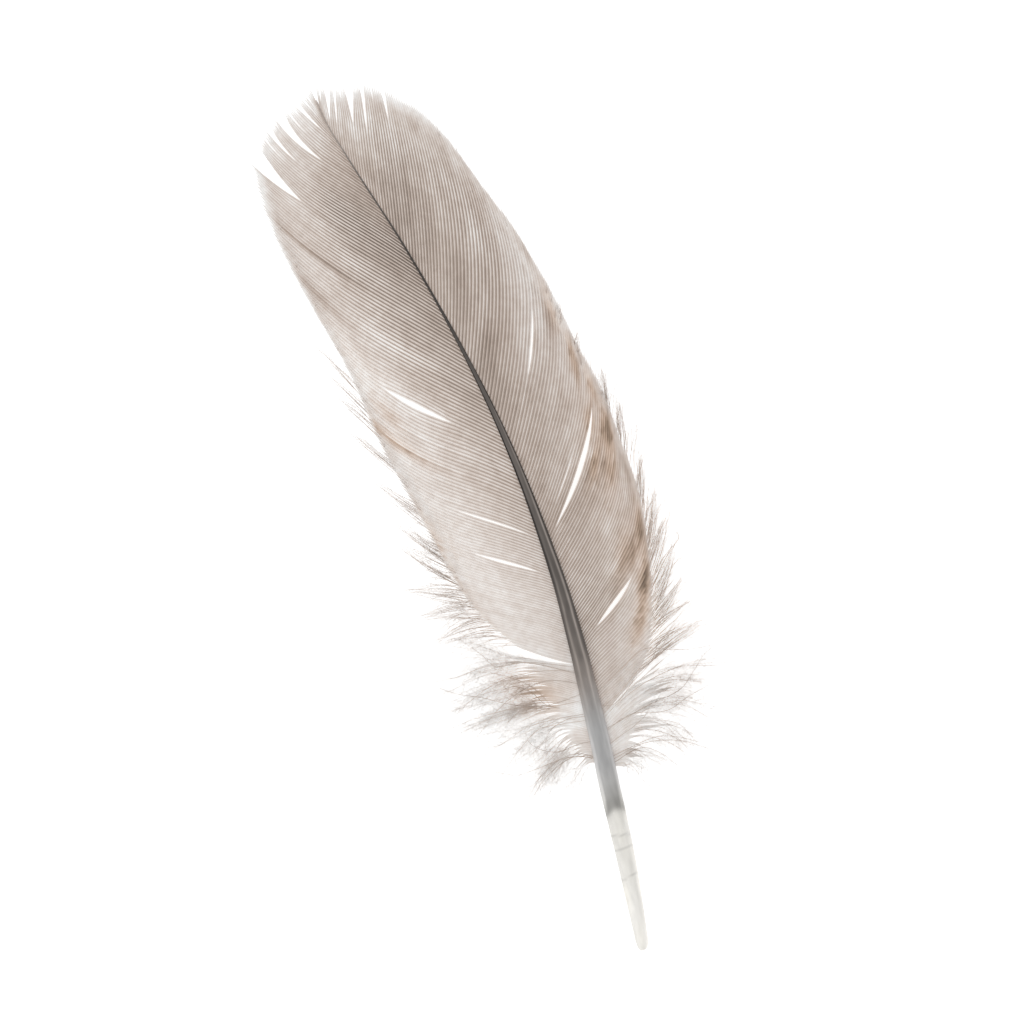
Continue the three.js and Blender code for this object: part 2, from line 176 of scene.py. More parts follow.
# Strands that the down gathers into: the points that each runs through, root first.
LEFT_STRANDS = [
    [(-24.3, -0.6), (-20.6, 5.9), (-16.6, 11.9), (-12.3, 17.3)],
    [(-25.6, -0.5), (-21.0, 6.0), (-19.6, 12.5), (-19.2, 19.2)],
    [(-28.0, -0.2), (-23.6, 5.8), (-22.4, 12.2), (-22.8, 19.6)],
    [(-30.8, 0.1), (-27.2, 5.8), (-26.4, 11.5), (-26.6, 20.0)],
    [(-33.2, 0.4), (-30.0, 5.2), (-30.4, 10.5), (-31.5, 17.0)],
    [(-35.4, 0.7), (-33.8, 4.5), (-35.4, 8.8), (-38.6, 13.2)],
    [(-38.4, 1.1), (-37.8, 3.0), (-38.6, 5.4), (-40.6, 8.4)],
]
RIGHT_STRANDS = [
    [(-32.4, 0.3), (-29.0, -7.7), (-26.8, -13.8), (-24.8, -20.0)],
    [(-33.2, 0.4), (-29.6, -6.0), (-29.6, -13.0), (-31.5, -19.6)],
    [(-34.4, 0.5), (-31.8, -6.5), (-31.6, -12.0), (-34.2, -17.4)],
    [(-36.4, 0.8), (-34.6, -5.0), (-36.4, -10.0), (-41.0, -13.4)],
    [(-38.0, 1.0), (-37.6, -2.6), (-39.4, -5.6), (-42.3, -8.6)],
    [(-39.2, 1.2), (-39.6, -1.2), (-40.6, -2.8), (-41.9, -4.4)],
]

# Single barbs of the down that stand apart, in the same form.
LEFT_STRAYS = [
    [(-25, -0.7), (-22.6, 5.9), (-22.2, 10.3), (-23.1, 14.7), (-24.3, 17.9)],
    [(-27, -0.5), (-24.4, 4.9), (-24.5, 8.2), (-25.8, 12.2), (-28.8, 17)],
    [(-29, -0.2), (-28.1, 5.3), (-26.7, 9.8), (-26.1, 15), (-26.2, 20.9)],
    [(-32, 0.2), (-30.9, 5), (-30.5, 7.9), (-32.1, 11.3), (-35.7, 16.4)],
    [(-37, 0.9), (-35.6, 6.8), (-35.7, 10.4), (-35.6, 13.4), (-34, 16.3)],
    [(-37.5, 1), (-35.9, 7), (-36.8, 8.3), (-37.8, 9.7), (-38.6, 10.8)],
    [(-24.5, -0.8), (-20.5, 8.2), (-20.2, 10.6), (-17.7, 12.1), (-14.7, 14.2)],
    [(-25.5, -0.6), (-20.6, 7.7), (-19.6, 12.6), (-19.6, 16.4), (-19.1, 19.9)],
    [(-28, -0.3), (-27.5, 6.8), (-25.8, 10.7), (-23.7, 13.9), (-21.6, 17.6), (-19.8, 19.7)],
    [(-29, 4), (-27.5, 6), (-25.3, 7.2), (-23.6, 9.4), (-23.6, 11.2)],
    [(-28.6, 5.2), (-27.6, 7.4), (-27.2, 9.2), (-27.9, 11.4), (-29, 13)],
    [(-28.6, 5.2), (-26.4, 5.9), (-24.4, 7), (-22, 9.6), (-19.6, 14)],
    [(-31, 0.1), (-29.8, 6.9), (-29.8, 10.2), (-30.4, 12.4), (-30.8, 14.6), (-30, 16.8)],
    [(-31.5, 0.1), (-30.6, 4), (-31.5, 7), (-34.2, 8.6)],
    [(-35, 0.6), (-34.4, 4.1), (-34.5, 6.4), (-33.4, 8.8), (-31.9, 10), (-29.9, 10)],
    [(-38.2, 1.1), (-36, 4.4), (-37, 9), (-40.4, 13.6)],
    [(-37.8, 1), (-35.6, 4.6), (-36.6, 9.6), (-39.2, 13)],
]
RIGHT_STRAYS = [
    [(-30, -0.1), (-30.9, -2.9), (-28.9, -6.7), (-26.9, -10.5), (-24.9, -12.1)],
    [(-31, 0.1), (-30, -3.6), (-27.2, -9.1), (-26.6, -12.7), (-25.7, -17), (-24.8, -20.5)],
    [(-33, 0.3), (-31.4, -2.7), (-29.6, -8.6), (-29.4, -13.4), (-31.2, -18.8)],
    [(-34.5, 0.5), (-33.1, -4.7), (-34.5, -10.2), (-33.8, -13.4), (-33.3, -16.9)],
    [(-34, 0.5), (-32.8, -7.8), (-32.2, -13.2), (-30.5, -15.6), (-29.2, -17.3), (-28.4, -19.1)],
    [(-36.5, 0.8), (-35.7, -1.5), (-34.7, -5.1), (-33.9, -6.9), (-32.3, -8.4)],
    [(-38.5, 1.1), (-37.7, -5.5), (-39.7, -10.8), (-41.8, -13.4)],
    [(-39, 1.2), (-38.4, -5.2), (-40.2, -7.1), (-42.4, -8.4)],
    [(-38, 1), (-37.5, -3.4), (-37.5, -7.3), (-38.8, -10.2), (-40.3, -12.3)],
    [(-29, -0.2), (-26.7, -5.6), (-25.2, -10), (-26.6, -13.2), (-27.6, -15.8), (-28.2, -19.2)],
]

# Clusters of loose barb ends past the vane's edge: barb root x, the share of the barb from which
# its threads come loose, and the tip that they run to.
LEFT_LOOSE = [
    (-22.1, 0.96, -14, 18.4), (-20.3, 0.95, -9.8, 18.9), (-18.8, 0.95, -5.4, 19.4),
    (-16.7, 0.95, 0.8, 17.4), (-14.1, 0.95, 4.3, 17), (-9.8, 0.95, 10.8, 17.9),
    (-5.7, 0.95, 19.6, 19.1), (-1.6, 0.94, 24, 18.2), (0.4, 0.95, 28.3, 19.1),
    (3.1, 0.95, 33.2, 19.2),
]
RIGHT_LOOSE = [
    (-30.7, 0.95, -24.2, -20.1), (-29.1, 0.94, -20.5, -20.1), (-27.7, 0.93, -16.6, -20.2),
    (-26.1, 0.93, -11.8, -20.2), (-24.0, 0.91, -8.2, -20.2), (-22.0, 0.87, -4.5, -19.2),
    (-19.5, 0.85, 1, -19.4), (-14.7, 0.85, 9.1, -18.9), (-10.7, 0.83, 15, -18.7),
    (-3.8, 0.87, 21, -17.3), (0.4, 0.85, 25.6, -16.6),
]
# Single loose ends past the edge, along the shaft: how far they reach, how far apart they sit and
# how many degrees they turn outward from the barbs.
LEFT_WILD = [
    (-24, 11, 0.14, 30), (-20, 11, 0.14, 26), (-17.5, 10, 0.18, 8), (-14, 9, 0.25, -2),
    (-9, 8, 0.7, 2), (-2, 8, 1.2, 4), (4, 7, 1.8, 4), (14, 4, 2.5, 4), (24, 3, 3, 4),
]
RIGHT_WILD = [
    (-31.5, 13, 0.17, 4), (-26, 12, 0.17, -4), (-22, 12, 0.22, 2), (-18, 10, 0.5, 6),
    (-14, 8, 0.6, 8), (-10, 7, 0.6, 8), (-4, 5, 1.2, 8), (4, 5, 2.5, 10), (14, 4, 3, 8),
    (24, 3, 4, 6),
]

# --- Markings --------------------------------------------------------------------------------

# Patches that are darker (+) or paler (-) than the vane round them: barb root x, share of the
# barb's length, spread along the shaft in mm, spread in shares, change of the brightness.
LEFT_PATCHES = [
    (24.3, 0.72, 0.4, 0.25, 34), (24.1, 0.62, 1.6, 0.25, 12), (22.2, 0.85, 1.0, 0.15, -12),
    (15.6, 0.78, 1.5, 0.21, 14), (-0.5, 0.78, 0.35, 0.2, 34), (-0.1, 0.86, 1.4, 0.2, 10),
    (3.6, 0.76, 1.8, 0.1, 22), (16.1, 0.88, 0.8, 0.08, 18),
    (34.7, 0.56, 1.0, 0.08, 16), (8.3, 0.34, 0.8, 0.06, -24),
    (15.8, 0.47, 2.2, 0.17, -12), (6.4, 0.5, 3.0, 0.21, -6), (34.4, 0.38, 4.0, 0.22, 16),
    (44, 0.42, 4, 0.22, 10), (5.2, 0.55, 0.6, 0.07, 14), (2.2, 0.6, 0.7, 0.06, 12),
    (29.5, 0.67, 1.2, 0.09, 18), (28.1, 0.57, 1.0, 0.06, 12), (16.1, 0.82, 1.0, 0.1, 14),
    (59.9, 0.46, 1.2, 0.2, -20), (38.3, 0.12, 1.5, 0.08, -16), (41.3, 0.9, 1.5, 0.08, -14),
    (8.7, 0.87, 2.4, 0.15, 8), (-18.0, 0.9, 3.0, 0.2, 6),
]
RIGHT_PATCHES = [
    (38.3, 0.39, 2.5, 0.21, 10), (25.7, 0.3, 2.2, 0.13, 14), (16.7, 0.63, 2.5, 0.08, 12),
    (16.7, 0.21, 2.0, 0.1, 14), (3.5, 0.75, 1.2, 0.07, 26), (-1.5, 0.81, 0.8, 0.05, 24),
    (-0.9, 0.56, 1.6, 0.07, 16), (-10.5, 0.8, 1.0, 0.06, 46), (-10.2, 0.6, 0.9, 0.05, 24),
    (-9.2, 0.39, 1.6, 0.1, 12), (-20.0, 0.81, 0.9, 0.07, 48), (-19.8, 0.55, 1.1, 0.08, 30),
    (-24.0, 0.84, 1.1, 0.08, 58), (-21.4, 0.42, 1.3, 0.09, 20), (-26.7, 0.76, 1.2, 0.1, 26),
    (20.4, 0.55, 1.8, 0.09, -12), (19.5, 0.25, 1.0, 0.07, -14), (8.2, 0.45, 1.8, 0.11, -16),
    (-4.1, 0.55, 1.4, 0.06, -14), (-14.8, 0.48, 1.6, 0.09, -12),
    (-2.8, 0.8, 0.8, 0.06, 24), (-3.2, 0.73, 0.7, 0.05, 16), (-8.6, 0.52, 0.7, 0.045, 24),
    (-6.2, 0.68, 0.7, 0.045, 24), (-9.8, 0.76, 0.7, 0.045, 20), (-20.6, 0.64, 0.7, 0.045, 24),
    (28.6, 0.06, 1.0, 0.05, 16), (-12.0, 0.65, 0.8, 0.05, 18), (5.8, 0.95, 1.5, 0.05, 18),
    (-18.8, 0.46, 0.8, 0.06, -24), (18.4, 0.32, 0.8, 0.06, -24), (-0.8, 0.58, 0.8, 0.05, -24),
    (-5.0, 0.38, 0.7, 0.05, -20), (-19.4, 0.82, 0.6, 0.045, -20), (34, 0.48, 5, 0.25, 12),
    (17, 0.78, 2.2, 0.1, 20), (19.6, 0.68, 1.8, 0.08, 16), (27.5, 0.6, 1.8, 0.1, 18),
    (28.8, 0.7, 1.2, 0.08, 12), (5, 0.8, 1.5, 0.09, 16), (7.6, 0.92, 1.2, 0.05, 16),
    (10, 0.54, 1.2, 0.06, 14), (59.8, 0.35, 1.2, 0.25, -24), (-21.2, 0.34, 0.8, 0.06, -18),
    (47.2, 0.72, 1.5, 0.08, -18), (-12.8, 0.58, 0.6, 0.05, -16), (-15.8, 0.74, 0.8, 0.06, -14),
    (-17.6, 0.38, 0.8, 0.06, -16), (-16.2, 0.86, 1.0, 0.05, 16),
    (-23.6, 0.76, 0.8, 0.05, 20), (7.0, 0.52, 0.8, 0.05, 18), (-14.0, 0.54, 0.8, 0.05, 14),
    (-7.4, 0.54, 0.5, 0.04, -20), (-22.4, 0.58, 0.6, 0.05, -20), (-10.9, 0.82, 0.7, 0.05, 22),
    (-20.8, 0.86, 0.5, 0.05, 32), (-20.6, 0.68, 0.5, 0.06, 24), (-23.7, 0.86, 0.5, 0.09, 24),
    (-20.7, 0.42, 0.5, 0.07, 14), (-27.2, 0.78, 0.6, 0.07, 16), (-2.9, 0.81, 0.5, 0.06, 18),
    (-7.4, 0.86, 0.5, 0.04, 20), (-8.8, 0.66, 0.4, 0.1, 22), (-7.9, 0.48, 0.35, 0.1, 22),
]
# Places tinged with brown, in the same form, with the tinge from 0 to 1 at the end.
LEFT_BROWN = [
    (-0.2, 0.86, 1.2, 0.25, 0.8), (-11.5, 0.98, 2.0, 0.16, 0.5), (8.9, 0.81, 4.0, 0.21, 0.25),
    (-14, 0.96, 8, 0.06, 0.4), (3.6, 0.76, 1.8, 0.1, 0.4),
]
RIGHT_BROWN = [
    (2.7, 0.84, 1.6, 0.08, 0.7), (-1.5, 0.83, 1.5, 0.09, 0.7), (-6.4, 0.85, 1.5, 0.07, 0.8),
    (-10.5, 0.8, 1.8, 0.09, 1.0), (-11.8, 0.67, 1.6, 0.1, 0.7), (-20.0, 0.82, 1.8, 0.1, 0.8),
    (-19.4, 0.55, 2.0, 0.12, 0.6), (-23.6, 0.84, 2.2, 0.14, 0.9), (-26.7, 0.79, 2.0, 0.17, 0.8),
    (-12, 0.65, 10, 0.3, 0.35), (-8.6, 0.52, 1.2, 0.07, 0.6), (-6.2, 0.68, 1.2, 0.07, 0.6),
    (-9.8, 0.76, 1.0, 0.06, 0.5), (-2.8, 0.8, 1.2, 0.08, 0.5), (-8.6, 0.6, 0.9, 0.16, 0.4),
    (-20.7, 0.68, 1.2, 0.08, 0.4),
]

# Brightness of the vanes, 0 to 255, beside the shaft and near the edge, along the shaft.
LEFT_TONE_AT_SHAFT = [
    (-24, 220), (-14, 206), (-4, 196), (8, 183), (18, 176), (28, 168), (42, 160), (50, 174),
    (57, 192), (63, 198),
]
LEFT_TONE_AT_EDGE = [
    (-24, 222), (-14, 224), (-4, 224), (8, 228), (18, 208), (28, 212), (42, 208), (50, 216),
    (63, 230),
]
RIGHT_TONE_AT_SHAFT = [
    (-32.5, 208), (-24, 198), (-12, 186), (0, 181), (12, 172), (28, 180), (42, 170), (50, 183),
    (57, 198), (63, 204),
]
RIGHT_TONE_AT_EDGE = [
    (-32.5, 220), (-24, 210), (-12, 206), (0, 216), (12, 216), (24, 204), (34, 202), (42, 204),
    (50, 218), (63, 236),
]
# How strongly the dark ribs stand out beside the shaft, along it.
LEFT_CONTRAST = [
    (-24, 0.12), (-20, 0.2), (-14, 0.32), (-4, 0.52), (2, 0.6), (8, 0.64), (14, 0.76), (20, 0.8),
    (26, 0.88), (32, 0.92), (38, 1.1), (44, 0.72), (50, 0.6), (56, 0.45), (60, 0.4),
]
RIGHT_CONTRAST = [
    (-32.5, 0.12), (-26, 0.45), (-20, 0.66), (-12, 0.55), (0, 0.52), (8, 0.6), (18, 0.7),
    (30, 0.68), (36, 0.76), (42, 0.8), (48, 0.62), (54, 0.45), (60, 0.4),
]
# Share of a barb where its rib starts to fade out, and over how much it fades, along the shaft.
LEFT_FADING = [(-24, 0.45, 0.4), (10, 0.35, 0.5), (30, 0.4, 0.4), (63, 0.38, 0.4)]
RIGHT_FADING = [
    (-32.5, 0.35, 0.45), (10, 0.45, 0.5), (24, 0.65, 0.3), (44, 0.66, 0.3), (63, 0.5, 0.4),
]
TONES = {
    LEFT: {
        "shaft": LEFT_TONE_AT_SHAFT, "edge": LEFT_TONE_AT_EDGE, "contrast": LEFT_CONTRAST,
        "fading": LEFT_FADING, "patches": LEFT_PATCHES, "brown": LEFT_BROWN,
    },
    RIGHT: {
        "shaft": RIGHT_TONE_AT_SHAFT, "edge": RIGHT_TONE_AT_EDGE, "contrast": RIGHT_CONTRAST,
        "fading": RIGHT_FADING, "patches": RIGHT_PATCHES, "brown": RIGHT_BROWN,
    },
}


# --- Numbers ---------------------------------------------------------------------------------

NOISE_CELLS = 96
DISPLAY_GAMMA = 2.2
# Phases of random waves run from 0 to this, in radians.
WAVE_PHASE = 6.28


def smooth(rows, x, column=1):
    """Value of one column of a table at x, on a smooth curve through the rows."""
    at = np.array([row[0] for row in rows], float)
    value = np.array([row[column] for row in rows], float)
    step = np.diff(at)
    slope = np.diff(value) / step
    inner = (slope[:-1] * step[1:] + slope[1:] * step[:-1]) / (step[:-1] + step[1:])
    tangent = np.concatenate([slope[:1], inner, slope[-1:]])
    x = np.clip(np.asarray(x, float), at[0], at[-1])
    i = np.clip(np.searchsorted(at, x, side="left") - 1, 0, len(step) - 1)
    h = step[i]
    u = (x - at[i]) / h
    rise = 3 * u**2 - 2 * u**3
    bend = (u**3 - 2 * u**2 + u) * tangent[i] + (u**3 - u**2) * tangent[i + 1]
    return (1 - rise) * value[i] + rise * value[i + 1] + h * bend


def ease(low, high, x):
    """0 below low, 1 above high, with a smooth step between."""
    u = np.clip((np.asarray(x, float) - low) / (high - low), 0, 1)
    return u * u * (3 - 2 * u)


def linear(grey):
    """A 0 to 255 display brightness as the amount of light it stands for."""
    return (np.asarray(grey, float) / 255) ** DISPLAY_GAMMA


def blotches(seed, x, y, x_size, y_size):
    """Smooth noise between -1 and 1 whose blotches have these sizes."""
    cells = NOISE_CELLS
    values = np.random.default_rng(seed).uniform(-1, 1, (cells, cells))
    u = np.asarray(x, float) / x_size + cells / 2
    v = np.asarray(y, float) / y_size + cells / 2
    i = np.floor(u).astype(int)
    j = np.floor(v).astype(int)
    fu = ease(0, 1, u - i)
    fv = ease(0, 1, v - j)
    i %= cells
    j %= cells
    i_next = (i + 1) % cells
    j_next = (j + 1) % cells
    near = values[i, j] * (1 - fv) + values[i, j_next] * fv
    far = values[i_next, j] * (1 - fv) + values[i_next, j_next] * fv
    return near * (1 - fu) + far * fu


def bumps(patches, root, share):
    """Sum of soft patches at places given by barb root and share of the barb's length."""
    total = np.zeros(np.broadcast(root, share).shape)
    for at, middle, root_spread, share_spread, change in patches:
        far = ((root - at) / root_spread) ** 2 + ((share - middle) / share_spread) ** 2
        total += change * np.exp(-far)
    return total


# --- Meshes ----------------------------------------------------------------------------------

# Where a strip lies in its row of the map, as shares of it: its closed end, its first and last
# ring and its tip along the row, and its margin and height across it.
MAP_CAP = 0.006
MAP_CAP_RADIUS = (0.004, 0.2)
MAP_RINGS = (0.012, 0.97)
MAP_TIP = 0.99
MAP_MARGIN = 0.05
MAP_HEIGHT = 0.9


def strips(rings, tips, girth, values, area=(0, 1), columns=1):
    """Many closed strips: rings (n, m, k, 3) that run out to tips (n, 3), all in mm.

    girth gives how far round the section each of the k points lies, with 1 at the end. values are
    numbers, or arrays per ring (n, m) or per point (n, m, k), where n or m may be 1. The strips
    fill the rows of the map from area[0] to area[1] in v, in that many columns.
    """
    n, m, k, _ = rings.shape
    per = m * k + 1
    points = np.concatenate([rings.reshape(n, m * k, 3), tips[:, None]], axis=1).reshape(-1, 3)
    first = np.arange(n)[:, None, None] * per
    ring = np.arange(m - 1)[:, None] * k
    here = np.arange(k)
    after = (here + 1) % k
    quads = np.stack([ring + here, ring + after, ring + after + k, ring + here + k], axis=-1)
    quads = (first[..., None] + quads[None]).reshape(-1, 4)
    last = (m - 1) * k
    ends = np.stack([last + here, last + after, np.full(k, per - 1)], axis=-1)
    ends = (first + ends[None]).reshape(-1, 3)
    caps = (np.arange(n)[:, None] * per + here[::-1][None]).reshape(-1, k)

    girth = np.asarray(girth, float)
    along = np.linspace(*MAP_RINGS, m)
    near = np.repeat(along[:-1], k)
    far = np.repeat(along[1:], k)
    quad_u = np.stack([near, near, far, far], axis=-1)
    start = np.tile(girth[:-1], m - 1)
    stop = np.tile(girth[1:], m - 1)
    quad_v = np.stack([start, stop, stop, start], axis=-1)
    end_u = np.stack([np.full(k, u) for u in (along[-1], along[-1], MAP_TIP)], axis=-1)
    end_v = np.stack([girth[:-1], girth[1:], (girth[:-1] + girth[1:]) / 2], axis=-1)
    turn = 2 * np.pi * here / k
    cap_u = MAP_CAP + MAP_CAP_RADIUS[0] * np.cos(turn)[None]
    cap_v = 0.5 + MAP_CAP_RADIUS[1] * np.sin(turn)[None]
    rows = math.ceil(n / columns)
    column = (np.arange(n) % columns)[:, None, None]
    row = (np.arange(n) // columns)[:, None, None]

    def placed(u, v):
        u = (column + u[None]) / columns
        v = area[0] + (area[1] - area[0]) * (row + MAP_MARGIN + MAP_HEIGHT * v[None]) / rows
        return np.stack(np.broadcast_arrays(u, v), axis=-1).reshape(-1, 2)

    spread = {}
    for name, value in values.items():
        value = np.asarray(value, float)
        value = value if value.ndim == 3 else value[..., None]
        value = np.broadcast_to(value, (n, m, k))
        tip_value = value[:, -1].mean(axis=1, keepdims=True)
        spread[name] = np.concatenate([value.reshape(n, m * k), tip_value], axis=1).ravel()
    return {
        "points": points,
        "faces": [quads, ends, caps],
        "uv": [placed(quad_u, quad_v), placed(end_u, end_v), placed(cap_u, cap_v)],
        "values": spread,
    }


def make_piece(name, bundles, material, sharp=None):
    """One mesh object from bundles of strips. sharp says which points lie on sharp edges."""
    points = np.concatenate([b["points"] for b in bundles])
    offsets = np.cumsum([0] + [len(b["points"]) for b in bundles[:-1]])
    corners, totals, uvs = [], [], []
    for bundle, offset in zip(bundles, offsets):
        for faces, uv in zip(bundle["faces"], bundle["uv"]):
            corners.append((faces + offset).ravel())
            totals.append(np.full(len(faces), faces.shape[1]))
            uvs.append(uv)
    corners = np.concatenate(corners)
    totals = np.concatenate(totals)
    uvs = np.concatenate(uvs)
    mesh = bpy.data.meshes.new(name)
    mesh.vertices.add(len(points))
    mesh.vertices.foreach_set("co", (points * MM).astype(np.float32).ravel())
    mesh.loops.add(len(corners))
    mesh.loops.foreach_set("vertex_index", corners.astype(np.int32))
    mesh.polygons.add(len(totals))
    starts = np.concatenate([[0], np.cumsum(totals)[:-1]])
    mesh.polygons.foreach_set("loop_start", starts.astype(np.int32))
    mesh.update(calc_edges=True)
    layer = mesh.uv_layers.new(name="OFBake")
    layer.data.foreach_set("uv", uvs.astype(np.float32).ravel())
    for key in bundles[0]["values"]:
        attribute = mesh.attributes.new(key, "FLOAT", "POINT")
        data = np.concatenate([b["values"][key] for b in bundles])
        attribute.data.foreach_set("value", data.astype(np.float32))
    mesh.polygons.foreach_set("use_smooth", np.ones(len(totals), bool))
    if sharp is not None:
        edges = np.empty(len(mesh.edges) * 2, np.int32)
        mesh.edges.foreach_get("vertices", edges)
        on_edge = sharp[edges.reshape(-1, 2)].all(axis=1)
        marks = mesh.attributes.new("sharp_edge", "BOOLEAN", "EDGE")
        marks.data.foreach_set("value", on_edge)
    mesh.materials.append(material)
    piece = bpy.data.objects.new(name, mesh)
    bpy.context.scene.collection.objects.link(piece)
    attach(piece, "root")
    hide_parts("feather")
    return piece


# --- Form of the feather ---------------------------------------------------------------------

def shaft_radius(x):
    return smooth(SHAFT_WIDTH, x) / 2


def shaft_height(x):
    """Height of the shaft's middle: the quill lies on the surface, and the rest rises off it."""
    to_flat = math.cos(math.pi / SHAFT_SIDES)
    lying = shaft_radius(QUILL_RESTS_TO_X) * to_flat
    raised = np.maximum(lying, smooth(SHAFT_Z, x))
    return np.where(np.asarray(x) <= QUILL_RESTS_TO_X, shaft_radius(x) * to_flat, raised)


def vane_height(x, y, side):
    reach = smooth(SIDES[side]["reach"], x)
    across = np.minimum(1, np.abs(y - smooth(SHAFT_Y, x)) / reach)
    return VANE_EDGE_Z + (shaft_height(x) - VANE_EDGE_Z) * (1 - across**2)


def barb_controls(rows, side, root):
    """The four control points of each barb's curve, (n, 4, 2)."""
    start = np.stack([root, smooth(SHAFT_Y, root)], axis=-1)
    end = np.stack([smooth(rows, root, 2), smooth(rows, root, 3)], axis=-1)
    arm = (np.hypot(*(end - start).T) * BARB_BEND)[:, None]
    first = smooth(rows, root, 1) * RAD
    last = smooth(rows, root, 4) * RAD
    start_arm = np.stack([np.cos(first), side * np.sin(first)], axis=-1) * arm
    end_arm = np.stack([np.cos(last), side * np.sin(last)], axis=-1) * arm
    return np.stack([start, start + start_arm, end - end_arm, end], axis=1)


def curve_points(controls, share):
    """Points (n, m, 2) of cubic curves at the shares of their length given, (m) or (n, m)."""
    t = np.broadcast_to(share, (len(controls), np.shape(share)[-1]))[..., None]
    a, b, c, d = (controls[:, None, i] for i in range(4))
    return (1 - t) ** 3 * a + 3 * (1 - t) ** 2 * t * b + 3 * (1 - t) * t**2 * c + t**3 * d


def unit(vectors):
    return vectors / np.maximum(np.linalg.norm(vectors, axis=-1, keepdims=True), 1e-9)


def tangents(points):
    return unit(np.gradient(points, axis=1))


def slit_push(slits, root, share):
    """How far the slits push each barb aside, along the shaft."""
    push = np.zeros(np.broadcast(root, share).shape)
    for at, start, stop, gap in slits:
        along = np.clip((share - start) / (stop - start), 0, 1)
        opening = along if stop == 1 else np.sin(np.pi * along)
        far = root - at
        spread = END_SLIT_SPREAD if stop == 1 else SLIT_SPREAD
        push += np.sign(far) * gap / 2 * opening * np.exp(-np.abs(far) / spread)
    return push


def barb_roots(side):
    rows = SIDES[side]["barbs"]
    roots = [rows[0][0]]
    while roots[-1] < rows[-1][0]:
        roots.append(roots[-1] + float(smooth(SIDES[side]["spacing"], roots[-1])))
    return np.array(roots[:-1])


def beside(heading):
    """The level direction (..., 3) to the right of where a strip heads, seen from above."""
    return np.stack([heading[..., 1], -heading[..., 0], 0 * heading[..., 0]], axis=-1)


def half_widths(points, heading):
    """Half the distance from each barb to the one before and the one after it."""
    gap = points[1:] - points[:-1]
    across = np.abs((gap * beside(heading[:-1])[..., :2]).sum(axis=-1)) / 2 * WEB_OVERLAP
    before = np.concatenate([across[:1], across])
    after = np.concatenate([across, across[-1:]])
    return before, after


def barb_rings(path, across, before, after, rib, thickness, side):
    """Rings (n, m, 6, 3) of barbs along paths (n, m, 3): a web on both sides, a rib on top.

    before and after are the web's half widths toward the barbs nearer the quill and the tip.
    """
    minus, plus = (before, after) if side > 0 else (after, before)
    to_web, to_rib, up, _ = BARB_SECTION.T
    web = np.where(to_web < 0, minus[..., None], plus[..., None]) * to_web
    offset = web + rib[..., None] * to_rib
    rings = path[:, :, None] + across[:, :, None] * offset[..., None]
    rings[..., 2] += up * thickness
    return rings


def web_edges(n, m):
    """Which points of n barbs of m rings lie on the edges of their webs."""
    k = len(BARB_SECTION)
    place = np.arange(n * (m * k + 1)) % (m * k + 1)
    return np.isin(place % k, WEB_EDGE_POINTS)


def barb_values(shade, brown, line, along):
    across = BARB_SECTION[None, None, :, 3]
    return {"shade": linear(shade), "brown": brown, "line": line, "across": across, "along": along}


def thread_values(shade, brown, along):
    """The same for bare threads, which have no rib."""
    return {"shade": linear(shade), "brown": brown, "line": 0, "across": 0, "along": along}


# --- Materials -------------------------------------------------------------------------------

# The values between which most of a noise lies.
NOISE_SPAN = (0.3, 0.7)


